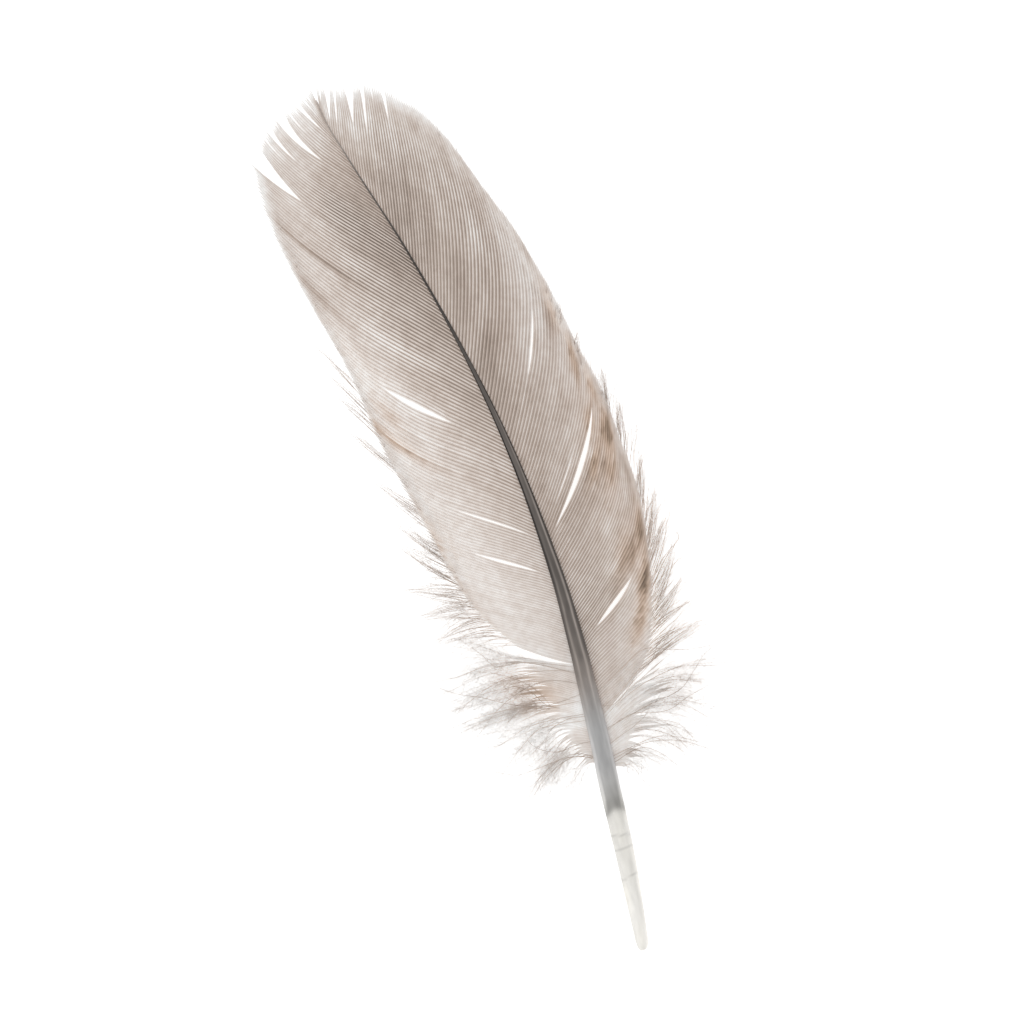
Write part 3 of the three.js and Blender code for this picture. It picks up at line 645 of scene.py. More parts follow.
class Nodes:
    """A node tree that is written as short expressions."""

    def __init__(self, name):
        self.material = bpy.data.materials.new(name)
        self.material.use_nodes = True
        self.tree = self.material.node_tree
        self.shader = self.tree.nodes["Principled BSDF"]

    def link(self, value, socket):
        if isinstance(value, bpy.types.NodeSocket):
            self.tree.links.new(value, socket)
        else:
            socket.default_value = value

    def attribute(self, name):
        node = self.tree.nodes.new("ShaderNodeAttribute")
        node.attribute_name = name
        return node.outputs["Fac"]

    def math(self, operation, a, b=0.0, c=0.0):
        node = self.tree.nodes.new("ShaderNodeMath")
        node.operation = operation
        for value, socket in zip((a, b, c), node.inputs):
            self.link(value, socket)
        return node.outputs[0]

    def between(self, value, low, high, to_low=0.0, to_high=1.0, kind="SMOOTHSTEP"):
        node = self.tree.nodes.new("ShaderNodeMapRange")
        node.interpolation_type = kind
        for given, name in zip(
            (value, low, high, to_low, to_high),
            ("Value", "From Min", "From Max", "To Min", "To Max"),
        ):
            self.link(given, node.inputs[name])
        return node.outputs["Result"]

    def mix(self, share, a, b, blend="MIX"):
        node = self.tree.nodes.new("ShaderNodeMix")
        node.data_type = "RGBA"
        node.blend_type = blend
        node.clamp_factor = True
        colours = [s for s in node.inputs if s.type == "RGBA"]
        self.link(share, node.inputs["Factor"])
        for value, socket in zip((a, b), colours):
            self.link(value, socket)
        return next(s for s in node.outputs if s.type == "RGBA")

    def grey(self, value):
        node = self.tree.nodes.new("ShaderNodeCombineColor")
        for socket in node.inputs:
            self.link(value, socket)
        return node.outputs[0]

    def place(self, stretch):
        where = self.tree.nodes.new("ShaderNodeTexCoord")
        mapping = self.tree.nodes.new("ShaderNodeMapping")
        mapping.inputs["Scale"].default_value = stretch
        self.tree.links.new(where.outputs["Object"], mapping.inputs["Vector"])
        return mapping.outputs["Vector"]

    def noise(self, scale, detail, to_low, to_high, stretch=(1, 1, 1), span=NOISE_SPAN):
        """Noise whose values over the span given run from to_low to to_high."""
        node = self.tree.nodes.new("ShaderNodeTexNoise")
        node.inputs["Scale"].default_value = scale
        node.inputs["Detail"].default_value = detail
        self.tree.links.new(self.place(stretch), node.inputs["Vector"])
        return self.between(node.outputs["Fac"], *span, to_low, to_high)

    def bump(self, height, strength, distance):
        node = self.tree.nodes.new("ShaderNodeBump")
        node.inputs["Strength"].default_value = strength
        node.inputs["Distance"].default_value = distance
        self.tree.links.new(height, node.inputs["Height"])
        return node.outputs["Normal"]

    def set(self, **values):
        for name, value in values.items():
            self.link(value, self.shader.inputs[name.replace("_", " ")])


# Colour that a brightness is multiplied by: hardly any where it is pale, beige where it is dark,
# and brown in places.
PALE_TINT = (1.01, 1.0, 0.985, 1)
DEEP_TINT = (1.185, 0.94, 0.785, 1)
BROWN_TINT = (1.25, 0.93, 0.7, 1)
PALE_VALUE = 0.925
DEEP_VALUE = 0.325
DEEP_POWER = 1.15
# How much a strong rib is darker than the shade, how much its web is paler, and how far across
# the barb the darkest part reaches.
RIB_DEPTH = 0.56
WEB_LIFT = 0.42
RIB_CORE = 0.15
# Fine waves of the brightness for the barbules: how many from a barb's rib to its edge and for
# each 1 of the value "along", and how much they change.
BARBULE_SLANT = 3.0
BARBULE_RATE = 9.0
BARBULE_CHANGE = 0.02
FULL_WAVE = 6.283
BARB_MOTTLE = (0.95, 1.05)
ROUGHNESS_SPREAD = 0.06
# How far across a barb the rib has faded out, and the roughness.
VANE_SURFACE = (0.66, 0.62)
FLUFF_SURFACE = (0.75, 0.7)


def barb_material(name, rib_edge, roughness):
    """Vane, down and loose barbs: shade and tint from the barbs, dark ribs, fine barbules."""
    m = Nodes(name)
    shade = m.attribute("shade")
    across = m.math("ABSOLUTE", m.attribute("across"))
    rib = m.between(across, rib_edge, RIB_CORE)
    line = m.attribute("line")
    raised = m.math("MULTIPLY_ADD", line, WEB_LIFT, 1.0)
    lowered = m.math("MULTIPLY", m.math("MULTIPLY", rib, line), WEB_LIFT + RIB_DEPTH)
    stripe = m.math("SUBTRACT", raised, lowered)
    along = m.math("MULTIPLY", m.attribute("along"), BARBULE_RATE)
    waves = m.math("MULTIPLY", m.math("MULTIPLY_ADD", across, BARBULE_SLANT, along), FULL_WAVE)
    barbule = m.math("MULTIPLY_ADD", m.math("SINE", waves), BARBULE_CHANGE, 1.0)
    mottle = m.noise(900, 2, *BARB_MOTTLE)
    striped = m.math("MULTIPLY", shade, stripe)
    value = m.math("MULTIPLY", striped, m.math("MULTIPLY", barbule, mottle))
    darkness = m.between(value, PALE_VALUE, DEEP_VALUE, kind="LINEAR")
    deep = m.math("POWER", darkness, DEEP_POWER)
    tint = m.mix(deep, PALE_TINT, DEEP_TINT)
    tint = m.mix(m.math("MULTIPLY", m.attribute("brown"), deep), tint, BROWN_TINT)
    colour = m.mix(1.0, m.grey(value), tint, "MULTIPLY")
    rough = m.noise(2500, 2, roughness - ROUGHNESS_SPREAD, roughness + ROUGHNESS_SPREAD)
    relief = m.bump(barbule, strength=0.12, distance=0.03 * MM)
    m.set(Base_Color=colour, Roughness=rough, Normal=relief, Specular_IOR_Level=0.3)
    return m.material


# Colours that the horn's brightness is multiplied by, and how much fine noise changes it.
HORN_TINT = (1.0, 0.993, 0.99, 1)
WARM_TINT = (1.11, 0.975, 0.885, 1)
CREAM_TINT = (1.03, 1.0, 0.925, 1)
HORN_STREAKS = (0.93, 1.07)
HORN_ROUGHNESS = (0.36, 0.5)
SPECK_PALENESS = 1.14
# The values of the noise over which specks appear.
SPECK_SPAN = (0.66, 0.78)


def shaft_material():
    """Horn: shade and tint from the shaft, with fine streaks along it."""
    m = Nodes("shaft_horn")
    streaks = m.noise(700, 5, *HORN_STREAKS, stretch=(0.12, 1, 1))
    specks = m.noise(5200, 2, 1.0, SPECK_PALENESS, stretch=(0.35, 1, 1), span=SPECK_SPAN)
    value = m.math("MULTIPLY", m.math("MULTIPLY", m.attribute("shade"), streaks), specks)
    tint = m.mix(m.attribute("warm"), HORN_TINT, WARM_TINT)
    tint = m.mix(m.attribute("cream"), tint, CREAM_TINT)
    colour = m.mix(1.0, m.grey(value), tint, "MULTIPLY")
    rough = m.noise(1800, 3, *HORN_ROUGHNESS, stretch=(0.2, 1, 1))
    relief = m.bump(streaks, strength=0.2, distance=0.04 * MM)
    m.set(Base_Color=colour, Roughness=rough, Normal=relief, Specular_IOR_Level=0.15)
    return m.material


# --- Shaft -----------------------------------------------------------------------------------

SHAFT_AROUND = 40
SHAFT_RINGS = 420
# Rings for each row of the quill tip's profile, the step from them to the next ring, and how far
# the shaft runs on to its end point.
TIP_RINGS = 4
TIP_STEP = 0.3
SHAFT_END_STEP = 0.6
# The groove under the shaft: its depth as a share of the radius, and where it begins.
GROOVE_DEPTH = 0.28
GROOVE_HALF_ANGLE = 24 * RAD
GROOVE_START = (-44, -34)
SHAFT_UNEVENNESS = 0.012

# Brightness of the core along the shaft, and how much its edges, the pale strip along its right
# side and the pale band on its left differ from it. The edges' rise on the quill is painted
# light: bright rims where light passes through the thin horn wall at the sides.
SHAFT_CORE = [
    (-65, 232), (-55, 229), (-47, 224), (-46, 222), (-45.2, 206), (-44.5, 154), (-43.7, 146),
    (-42.4, 162), (-38, 166), (-34, 162), (-30, 148), (-26, 124), (-22, 103), (-12, 90), (-6, 90),
    (0, 92), (8, 94), (16, 88), (26, 72), (38, 66), (50, 98), (57, 140), (63, 170),
]
SHAFT_EDGE_AND_RIM_LIGHT = [
    (-65, -6), (-50, -4), (-47, -3), (-46, -1), (-44.5, 36), (-42, 40), (-36, 34), (-30, 22),
    (-26, 10), (-22, -6), (-12, -14), (-4, -26), (8, -40), (20, -36), (30, -14), (40, 0),
]
SHAFT_STRIP = [
    (-44, 0), (-34, 12), (-26, 40), (-18, 60), (-10, 66), (-4, 62), (0, 44), (8, 34), (16, 16),
    (24, 8), (30, 0),
]
SHAFT_BAND = [(-44, 0), (-34, 10), (-26, 30), (-18, 38), (-12, 26), (-6, 8), (4, 0)]
# Where the strip and the band lie across the shaft, and how wide they are.
STRIPE_PLACE = 0.5
STRIPE_WIDTH = 0.14
STRIPE_WANDER = 0.06
# Dark rings in the quill: x, slant, width.
MEMBRANES = [(-48.6, 3.0, 0.16), (-50.5, 0.0, 0.1), (-54.5, -2.0, 0.12)]
MEMBRANE_DEPTH = 22
# How much farther toward the quill's tip the dark horn reaches on the shaft's sides.
HORN_EDGE_BEND = 1.2
# The brightness stays between these.
SHAFT_TONES = (20, 250)


def shaft_rings(turn):
    """The x (m) of the shaft's rings, and their points (m, k, 3) at the angles given (k)."""
    cap_x, cap_radius = np.array(QUILL_TIP_PROFILE).T
    rows = np.arange(len(cap_x))
    fine = np.linspace(0, rows[-1], TIP_RINGS * rows[-1] + 1)
    tip_x = QUILL_TIP_X + np.interp(fine, rows, cap_x)
    body_x = np.linspace(QUILL_TIP_X + cap_x[-1] + TIP_STEP, SHAFT_END_X, SHAFT_RINGS)
    x = np.concatenate([tip_x, body_x])
    radius = np.concatenate([np.interp(fine, rows, cap_radius), shaft_radius(body_x)])
    dent = GROOVE_DEPTH * np.exp(-(((turn - 1.5 * np.pi) / GROOVE_HALF_ANGLE) ** 2))
    r = radius[:, None] * (1 - ease(*GROOVE_START, x)[:, None] * dent[None])
    r = r * (1 + SHAFT_UNEVENNESS * blotches(3, x[:, None], turn[None] * 3, 2.5, 1.5))
    y = smooth(SHAFT_Y, x)[:, None] + r * np.cos(turn)
    z = np.maximum(shaft_height(x)[:, None] + r * np.sin(turn), 0)
    return x, np.stack([np.broadcast_to(x[:, None], y.shape), y, z], axis=-1)


def shaft_tone(at, side):
    """Brightness of the shaft at x (m, 1) and places across it (1, k), from -1 to 1 on its left."""
    wander = STRIPE_WANDER * blotches(8, at, 0 * at, 3, 1)
    reach = HORN_EDGE_BEND * np.abs(side) ** 2 * ease(-50, -43, at) * ease(-40, -43, at)
    grey = smooth(SHAFT_CORE, at + reach)
    # the edges: darker on the bare horn; on the quill, painted light, bright rims where light passes
    # through its wall
    grey = grey + smooth(SHAFT_EDGE_AND_RIM_LIGHT, at) * ease(0.6, 0.8, np.abs(side + wander))
    for stripe, place in ((SHAFT_STRIP, -STRIPE_PLACE), (SHAFT_BAND, STRIPE_PLACE)):
        near = np.exp(-(((side - place + wander) / STRIPE_WIDTH) ** 2))
        grey = grey + smooth(stripe, at) * near
    # darker down the left side of the bare horn
    grey = grey - 20 * ease(0.5, 0.75, side) * ease(-16, -8, at) * ease(24, 16, at)
    # painted light: paler down the right side of the quill, the side that the lamp leaves in shade
    grey = grey + 22 * ease(-0.5, -0.85, side) * ease(-44, -47, at)
    for place, slant, width in MEMBRANES:
        near = np.exp(-(((at - place - slant * 0.1 * side) / width) ** 2))
        grey = grey - MEMBRANE_DEPTH * near
    return grey + 5 * blotches(4, at, side * 3, 1.2, 0.8)


def make_shaft():
    turn = (np.arange(SHAFT_AROUND) / SHAFT_AROUND) * 2 * np.pi
    x, rings = shaft_rings(turn)
    end_x = SHAFT_END_X + SHAFT_END_STEP
    end = np.array([[end_x, float(smooth(SHAFT_Y, end_x)), float(rings[-1, :, 2].mean())]])
    at = x[:, None]
    side = np.cos(turn)[None]
    grey = np.clip(shaft_tone(at, side), *SHAFT_TONES)
    cream = ease(-38, -46, at) * (0.8 + 0.2 * blotches(5, at, side, 3, 1))
    values = {"shade": linear(grey)[None], "cream": cream[None], "warm": ease(-34, -24, at)[None]}
    girth = np.arange(SHAFT_AROUND + 1) / SHAFT_AROUND
    return make_piece("shaft", [strips(rings[None], end, girth, values)], shaft_material())


# --- Vanes -----------------------------------------------------------------------------------

# How far out on the barbs the brightness has become that of the vane's edge.
EDGE_TONE_SHARE = 0.85
# Random changes of the brightness: seed, change, size along the shaft in mm and size in shares of
# the barbs. They lean toward the tip by MOTTLE_LEAN mm over a barb.
MOTTLES = [(20, 7, 2.6, 0.11), (30, 4, 1.1, 0.05)]
MOTTLE_LEAN = 6
# How much weaker they are on the left vane toward the quill, and over which roots.
LEFT_CALM = 0.6
CALM_ROOTS = (4, -8)
# Dark flecks in the brown places, in the same form.
FLECKS = (50, 46, 0.45, 0.045)
# How much of a rib fades out, and how much weaker the ribs are away from the shaft toward the
# quill, over which roots and shares.
RIB_FADED = 0.74
RIB_CALM = 0.38
RIB_CALM_ROOTS = (20, 6)
RIB_CALM_SHARES = (0.12, 0.38)


def vane_tone(side, root, share):
    """Brightness, brown and rib contrast of a vane at barb roots and shares of the length."""
    tones = TONES[side]
    outward = ease(0.0, EDGE_TONE_SHARE, share)
    grey = smooth(tones["shaft"], root) * (1 - outward) + smooth(tones["edge"], root) * outward
    grey = grey - bumps(tones["patches"], root, share)
    calm = 1 - LEFT_CALM * ease(*CALM_ROOTS, root) * (side > 0)
    for seed, change, length, width in MOTTLES:
        lean = root + MOTTLE_LEAN * share
        grey = grey + change * calm * blotches(seed + side, lean, share, length, width)
    brown = np.clip(bumps(tones["brown"], root, share), 0, 1)
    seed, change, length, width = FLECKS
    flecks = np.maximum(0, blotches(seed + side, root, share, length, width))
    start, over = smooth(tones["fading"], root), smooth(tones["fading"], root, 2)
    faded = ease(0, 1, np.clip((share - start) / over, 0, 1))
    line = smooth(tones["contrast"], root) * (1 - RIB_FADED * faded)
    line = line * (1 - RIB_CALM * ease(*RIB_CALM_ROOTS, root) * ease(*RIB_CALM_SHARES, share))
    return grey - change * brown * flecks, brown, line


# Over what length a barb's web narrows to its end, and the share of its width that is left
# there, on the side of the quill and on the side of the tip.
QUILLWARD_TAPER = (1.3, 0.1)
TIPWARD_TAPER = (0.6, 0.3)
# The rings lie closer toward the barb's end by this power.
RING_POWER = 1.25
# Random spread of the barbs' lengths, as a share, and of their brightness.
LENGTH_SPREAD = 0.002
TONE_SPREAD = 3
VANE_UNEVENNESS = 0.05
# How far a barb's point lies past its last ring.
BARB_POINT = 0.2
# How much narrower the rib is and how much thinner the barb is at its end.
RIB_NARROWING = 0.6
BARB_THINNING = 0.5
# How much of the brown the pale ends lose.
BROWN_FADED = 0.7
# The value "along" at a barb's end, which sets how many barbules show as waves on it.
VANE_ALONG = 24


def length_to_end(points):
    """How far each point of the paths (n, m, 2) is from the path's end, along it."""
    steps = np.linalg.norm(np.diff(points, axis=1), axis=-1)
    total = steps.sum(axis=1, keepdims=True)
    return np.concatenate([total, total - np.cumsum(steps, axis=1)], axis=1)


def tapered(width, from_end, taper):
    over, left = taper
    return width * (left + (1 - left) * np.clip(from_end / over, 0, 1))


def vane_barbs(side, roots, share, rng):
    """Paths (n, m, 2) of a vane's barbs, parted at the slits, and the half widths of their webs."""
    form = SIDES[side]
    controls = barb_controls(form["barbs"], side, roots)
    chord = np.hypot(*(controls[:, 3] - controls[:, 0]).T)
    spread = LENGTH_SPREAD * rng.standard_normal(len(roots))
    length = (1 + smooth(form["growth"], roots) / chord + spread)[:, None, None]
    controls[:, 2:] = controls[:, :1] + (controls[:, 2:] - controls[:, :1]) * length
    points = curve_points(controls, share)
    heading = tangents(points)
    closed = half_widths(points, heading)
    push = slit_push(form["slits"], roots[:, None], share[None])
    aside = [push * np.abs(heading[..., 1]), -side * push * heading[..., 0]]
    points = points + np.stack(aside, axis=-1)
    parted = half_widths(points, tangents(points))
    before, after = (np.minimum(a, b) for a, b in zip(closed, parted))
    return points, before, after


def make_vane(name, side, seed):
    rng = np.random.default_rng(seed)
    form = SIDES[side]
    roots = barb_roots(side)
    root = roots[:, None]
    n, m = len(roots), BARB_RINGS
    share = (1 - (1 - np.linspace(0, 1, m)) ** RING_POWER)[None]
    points, before, after = vane_barbs(side, roots, share[0], rng)
    from_end = length_to_end(points)
    before = tapered(before, from_end, QUILLWARD_TAPER)
    after = tapered(after, from_end, TIPWARD_TAPER)
    height = vane_height(points[..., 0], points[..., 1], side)
    height = height + VANE_UNEVENNESS * blotches(40 + side, root, share, 5, 0.2)
    path = np.concatenate([points, height[..., None]], axis=-1)
    heading = tangents(points)
    rib = RIB_HALF_WIDTH * (1 - RIB_NARROWING * share)
    thickness = (1 - BARB_THINNING * share)[..., None]
    rings = barb_rings(path, beside(heading), before, after, rib, thickness, side)
    tips = np.concatenate([points[:, -1] + heading[:, -1] * BARB_POINT, height[:, -1:]], axis=1)

    grey, brown, line = vane_tone(side, root, share)
    grey = grey + TONE_SPREAD * rng.standard_normal(n)[:, None]
    fade = 1 - ease(0.0, 1.0, from_end / smooth(form["softness"], root))
    grey = grey + (smooth(form["end_tone"], root) - grey) * fade
    brown = brown * (1 - BROWN_FADED * fade)
    values = barb_values(grey, brown, line * (1 - fade), share * VANE_ALONG)
    bundle = strips(rings, tips, BARB_GIRTH, values)
    material = barb_material(name + "_barbs", *VANE_SURFACE)
    return make_piece(name, [bundle], material, web_edges(n, m))


# --- Down and loose ends ----------------------------------------------------------------------

# Three sides round a thread.
THREAD_GIRTH = [0, 1 / 3, 2 / 3, 1]
THREE_WAYS = np.arange(3) * 2 * np.pi / 3


def tubes(path, radius):
    """Three-sided rings (n, m, 3, 3) round paths (n, m, 3) with radii (n, m)."""
    heading = tangents(path)
    level = unit(beside(heading))
    upward = np.cross(level, heading)
    turn = THREE_WAYS + np.pi / 2
    sideways = level[:, :, None] * np.cos(turn)[:, None]
    around = sideways + upward[:, :, None] * np.sin(turn)[:, None]
    return path[:, :, None] + around * radius[:, :, None, None]


def waves(turns, phase, out):
    """Waves along a thread that begin at 0, for places out from 0 to 1 on it."""
    return np.sin(turns * out + phase) - np.sin(phase)


# Barbules: their thickness, the range of degrees at which they stand out, how far they lean up
# and down and bend on, and how close to the surface they come.
BARBULE_RADIUS = 0.008
BARBULE_ANGLES = (28, 68)
BARBULE_TILT = 0.3
BARBULE_BEND = (-0.1, 0.75)
BARBULE_RISE = 0.2
BARBULE_SWAY = 0.3
BARBULE_POWER = 1.3
# How much shorter they are at a thread's end than before END_THINNING_START.
END_THINNING = 0.55
END_THINNING_START = 0.55
LOWEST = 0.02


def barbules(rng, path, carried, per_mm, length, colour, area, columns):
    """A bundle of fine side hairs on both sides of threads.

    carried are the shares of each thread where the hairs start and stop, and length the range of
    their lengths. colour gives their brightness and brown.
    """
    n, m, _ = path.shape
    start, stop = carried
    total = np.linalg.norm(np.diff(path, axis=1), axis=-1).sum(axis=1)
    counts = np.maximum(1, (total * (stop - start) * per_mm * 2).astype(int))
    owner = np.repeat(np.arange(n), counts)
    count = len(owner)
    at = start[owner] + (stop - start)[owner] * rng.uniform(0, 1, count)
    place = at * (m - 1)
    i = np.minimum(place.astype(int), m - 2)
    f = (place - i)[:, None]
    base = path[owner, i] * (1 - f) + path[owner, i + 1] * f
    heading = unit(path[owner, i + 1] - path[owner, i])
    level = unit(beside(heading))
    upward = np.cross(level, heading)
    way = np.where(rng.uniform(size=count) < 0.5, -1.0, 1.0)[:, None]
    angle = (rng.uniform(*BARBULE_ANGLES, count) * RAD)[:, None]
    tilt = rng.normal(0, BARBULE_TILT, count)[:, None]
    out = heading * np.cos(angle) + (level * way + upward * tilt) * np.sin(angle)
    bend = heading * rng.uniform(*BARBULE_BEND, count)[:, None]
    bend = bend + upward * rng.normal(0, BARBULE_RISE, (count, 1))
    bend = out + (bend + level * rng.normal(0, BARBULE_SWAY, (count, 1)))
    reach = length[0] + (length[1] - length[0]) * rng.uniform(0, 1, count) ** BARBULE_POWER
    reach = (reach * (1 - END_THINNING * ease(END_THINNING_START, 1.0, at)))[:, None]
    middle = base + out * reach * 0.5
    end = middle + bend / np.linalg.norm(bend, axis=-1, keepdims=True) * reach * 0.5
    for points in (middle, end):
        points[:, 2] = np.maximum(points[:, 2], LOWEST)
    radius = np.tile([BARBULE_RADIUS, BARBULE_RADIUS * 0.75], (count, 1))
    rings = tubes(np.stack([base, middle], axis=1), radius)
    grey, brown = colour(owner, at, base)
    values = thread_values(grey[:, None], brown[:, None], at[:, None])
    return strips(rings, end, THREAD_GIRTH, values, area, columns)


def strand_paths(strands, roots, share, grip):
    """Paths (n, m, 2) that start along the shaft and draw together into the strands."""
    knots = np.linspace(0, 1, len(strands[0]))
    lines = np.array([
        [smooth(list(zip(knots, column)), share) for column in zip(*strand)] for strand in strands
    ]).transpose(0, 2, 1)
    first = np.array([strand[0][0] for strand in strands])
    order = np.interp(-roots, -first, np.arange(len(strands)))
    low = np.minimum(order.astype(int), len(strands) - 2)
    part = (order - low)[:, None]
    gathered = ease(0.5 * grip, 1 - 0.5 * grip, part)
    pull = ease(0.15, 0.9, share)[None]
    weight = (part * (1 - pull) + gathered * pull)[..., None]
    flat = lines[low] * (1 - weight) + lines[low + 1] * weight
    flat[:, :, 0] += (roots - flat[:, 0, 0])[:, None] * (1 - share) ** 2
    return flat


# The brown tuft in the down: its middle, its size along and across, and how it is turned.
TUFT = (-25.0, 7.6)
TUFT_SIZE = (5.5, 2.6)
TUFT_TURN = 30 * RAD


def tuft(x, y):
    """How much of the brown tuft in the down there is at a place, on either side of the shaft."""
    x = x - TUFT[0]
    y = np.abs(y) - TUFT[1]
    along = x * math.cos(TUFT_TURN) + y * math.sin(TUFT_TURN)
    across = y * math.cos(TUFT_TURN) - x * math.sin(TUFT_TURN)
    return np.exp(-((along / TUFT_SIZE[0]) ** 2 + (across / TUFT_SIZE[1]) ** 2))


# Distance between the barbs with webs, how many bare barbs there are for each of them, and the
# range of the shares at which their webs end.
DOWN_SPACING = 0.3
DOWN_THREADS = 1.7
DOWN_WEB_ENDS = {LEFT: (0.3, 0.52), RIGHT: (0.4, 0.64)}
DOWN_RINGS = 40
# How closely the barbs draw together into the strands, the range of their lengths as shares of
# the strands' and the range of the turns in their waves.
DOWN_GRIP = 0.25
DOWN_EXTENT = (0.68, 1.08)
DOWN_TURNS = (5, 15)
# The farthest that it reaches from the shaft's line, and how close to the surface its curves come.
DOWN_REACH = 20.4
DOWN_LOWEST = 0.25
# Half widths of the webs, of what is left of them past their ends, and of the ribs.
DOWN_WEB = (0.05, 0.45)
DOWN_THREAD = 0.012
DOWN_RIB = 0.03
DOWN_THICKNESS = 0.35
DOWN_CONTRAST = 0.05
DOWN_ALONG = 16
END_STEP = 0.3
# Radii and brightness of the threads that follow the strands and of the ones that stand apart.
THREAD_RADII = (0.023, 0.038)
THREAD_TONES = (206, 180)
# Brightness of the barbs and of the barbules on the threads, and how much darker the barbs and
# the threads are in the brown tuft.
DOWN_TONE = 228
HAIR_TONE = 235
TUFT_DARKER = (38, 26)
# How much brighter the down is than its mean: near the shaft's line, along it, and farther out.
DOWN_CHANGE = {
    LEFT: [
        (-40, 0), (-35.5, -4), (-33.8, -10), (-32, 12), (-30, 18), (-28, 4), (-26, -10), (-24, -4),
        (-21, 12),
    ],
    RIGHT: [(-42, 0), (-36, 2), (-33, 6), (-30, 18), (-26, 16), (-22, 8)],
}
DOWN_NEAR = (8, 11.5)
DOWN_FAR_CHANGE = {LEFT: 8, RIGHT: -16}


def down_change(side, x, y):
    """How much brighter the down is than its mean at a place."""
    near = ease(DOWN_NEAR[1], DOWN_NEAR[0], np.abs(y))
    return smooth(DOWN_CHANGE[side], x) * near + DOWN_FAR_CHANGE[side] * (1 - near)


def wandering(rng, strands, roots, side, sway, curl):
    """Barbs of the down as paths (n, m, 3), each with a length, a lean and curls of its own."""
    n, m = len(roots), DOWN_RINGS
    share = np.linspace(0, 1, m)
    flat = strand_paths(strands, roots, share, DOWN_GRIP)
    extent = rng.uniform(*DOWN_EXTENT, n)[:, None, None]
    flat = flat[:, :1] + (flat - flat[:, :1]) * (1 - (1 - extent) * share[None, :, None])
    out = share[None, :, None]
    flat = flat + rng.normal(0, 1, (n, 1, 2)) * out**2 * sway
    turns = rng.uniform(*DOWN_TURNS, (n, 1, 2))
    phase = rng.uniform(0, WAVE_PHASE, (n, 1, 2))
    flat = flat + curl * out**1.5 * waves(turns, phase, out)
    widest = np.abs(flat[..., 1]).max(axis=1, keepdims=True)
    flat[..., 1] = flat[..., 1] * np.minimum(1, DOWN_REACH / widest)
    base = np.maximum(vane_height(flat[..., 0], flat[..., 1], side), DOWN_LOWEST)
    arch = rng.uniform(0.05, 1.0, n)[:, None] * np.sin(np.pi * share[None] ** 0.8)
    lift = arch * ease(0.25, 0.7, share)[None]
    return np.concatenate([flat, (base + lift)[..., None]], axis=-1)


def stray_paths(rng, strays, side):
    """Paths (n, m, 3) of the single barbs that stand apart."""
    share = np.linspace(0, 1, DOWN_RINGS)
    paths = []
    for stray in strays:
        stray = np.array(stray)
        reach = np.concatenate([[0], np.cumsum(np.hypot(*np.diff(stray, axis=0).T))])
        x, y = (smooth(list(zip(reach / reach[-1], column)), share) for column in stray.T)
        lift = rng.uniform(0.3, 1.1) * np.sin(np.pi * share**0.8)
        base = np.maximum(vane_height(x, y, side), DOWN_LOWEST)
        paths.append(np.stack([x, y, base + lift], axis=-1))
    return np.array(paths)


def down_barbs(rng, side, strands, roots):
    """A bundle of barbs whose webs make a sheet beside the shaft and that run out as threads."""
    share = np.linspace(0, 1, DOWN_RINGS)[None]
    path = wandering(rng, strands, roots, side, sway=0.5, curl=0.12)
    n = len(path)
    heading = tangents(path)
    web_end = rng.uniform(*DOWN_WEB_ENDS[side], n)[:, None]
    cover = 1 - ease(web_end - 0.2, web_end + 0.1, share)
    # the roots run toward the quill, the other way round from a vane's
    to_tip, to_quill = (
        np.clip(half * 1.1, *DOWN_WEB) * cover + DOWN_THREAD
        for half in half_widths(path[..., :2], tangents(path[..., :2]))
    )
    rib = DOWN_RIB * (1 - RIB_NARROWING * share)
    rings = barb_rings(path, beside(heading), to_quill, to_tip, rib, DOWN_THICKNESS, side)
    paler = ease(web_end - 0.25, web_end, share) - ease(web_end, web_end + 0.2, share)
    grey = DOWN_TONE + 8 * paler + down_change(side, path[..., 0], path[..., 1])
    browned = tuft(path[..., 0], path[..., 1])
    grey = np.minimum(250, grey + 2 * rng.standard_normal((n, 1)) - TUFT_DARKER[0] * browned)
    brown = np.clip(0.1 + 0.9 * browned, 0, 1)
    values = barb_values(grey, brown, DOWN_CONTRAST, share * DOWN_ALONG)
    return strips(rings, path[:, -1] + heading[:, -1] * END_STEP, BARB_GIRTH, values, area=(0, 0.15))


def down_threads(rng, side, strands, strays, roots):
    """Paths (n, m, 3) of bare barbs, and which of them (n) stand apart from the strands."""
    share = np.linspace(0, 1, DOWN_RINGS)
    path = wandering(rng, strands, roots, side, sway=1.1, curl=0.32)
    loose = rng.uniform(0.25, 0.45, len(path))[:, None]
    within = loose + (1 - loose) * share[None]
    path = np.array([
        [np.interp(w, share, column) for column in line.T] for w, line in zip(within, path)
    ]).transpose(0, 2, 1)
    path = np.concatenate([path, stray_paths(rng, strays, side)])
    path[..., 2] -= 0.12 * ease(0.15, 0.0, share)[None]
    path[..., 2] = np.maximum(path[..., 2], 0.05)
    return path, np.arange(len(path)) >= len(roots)


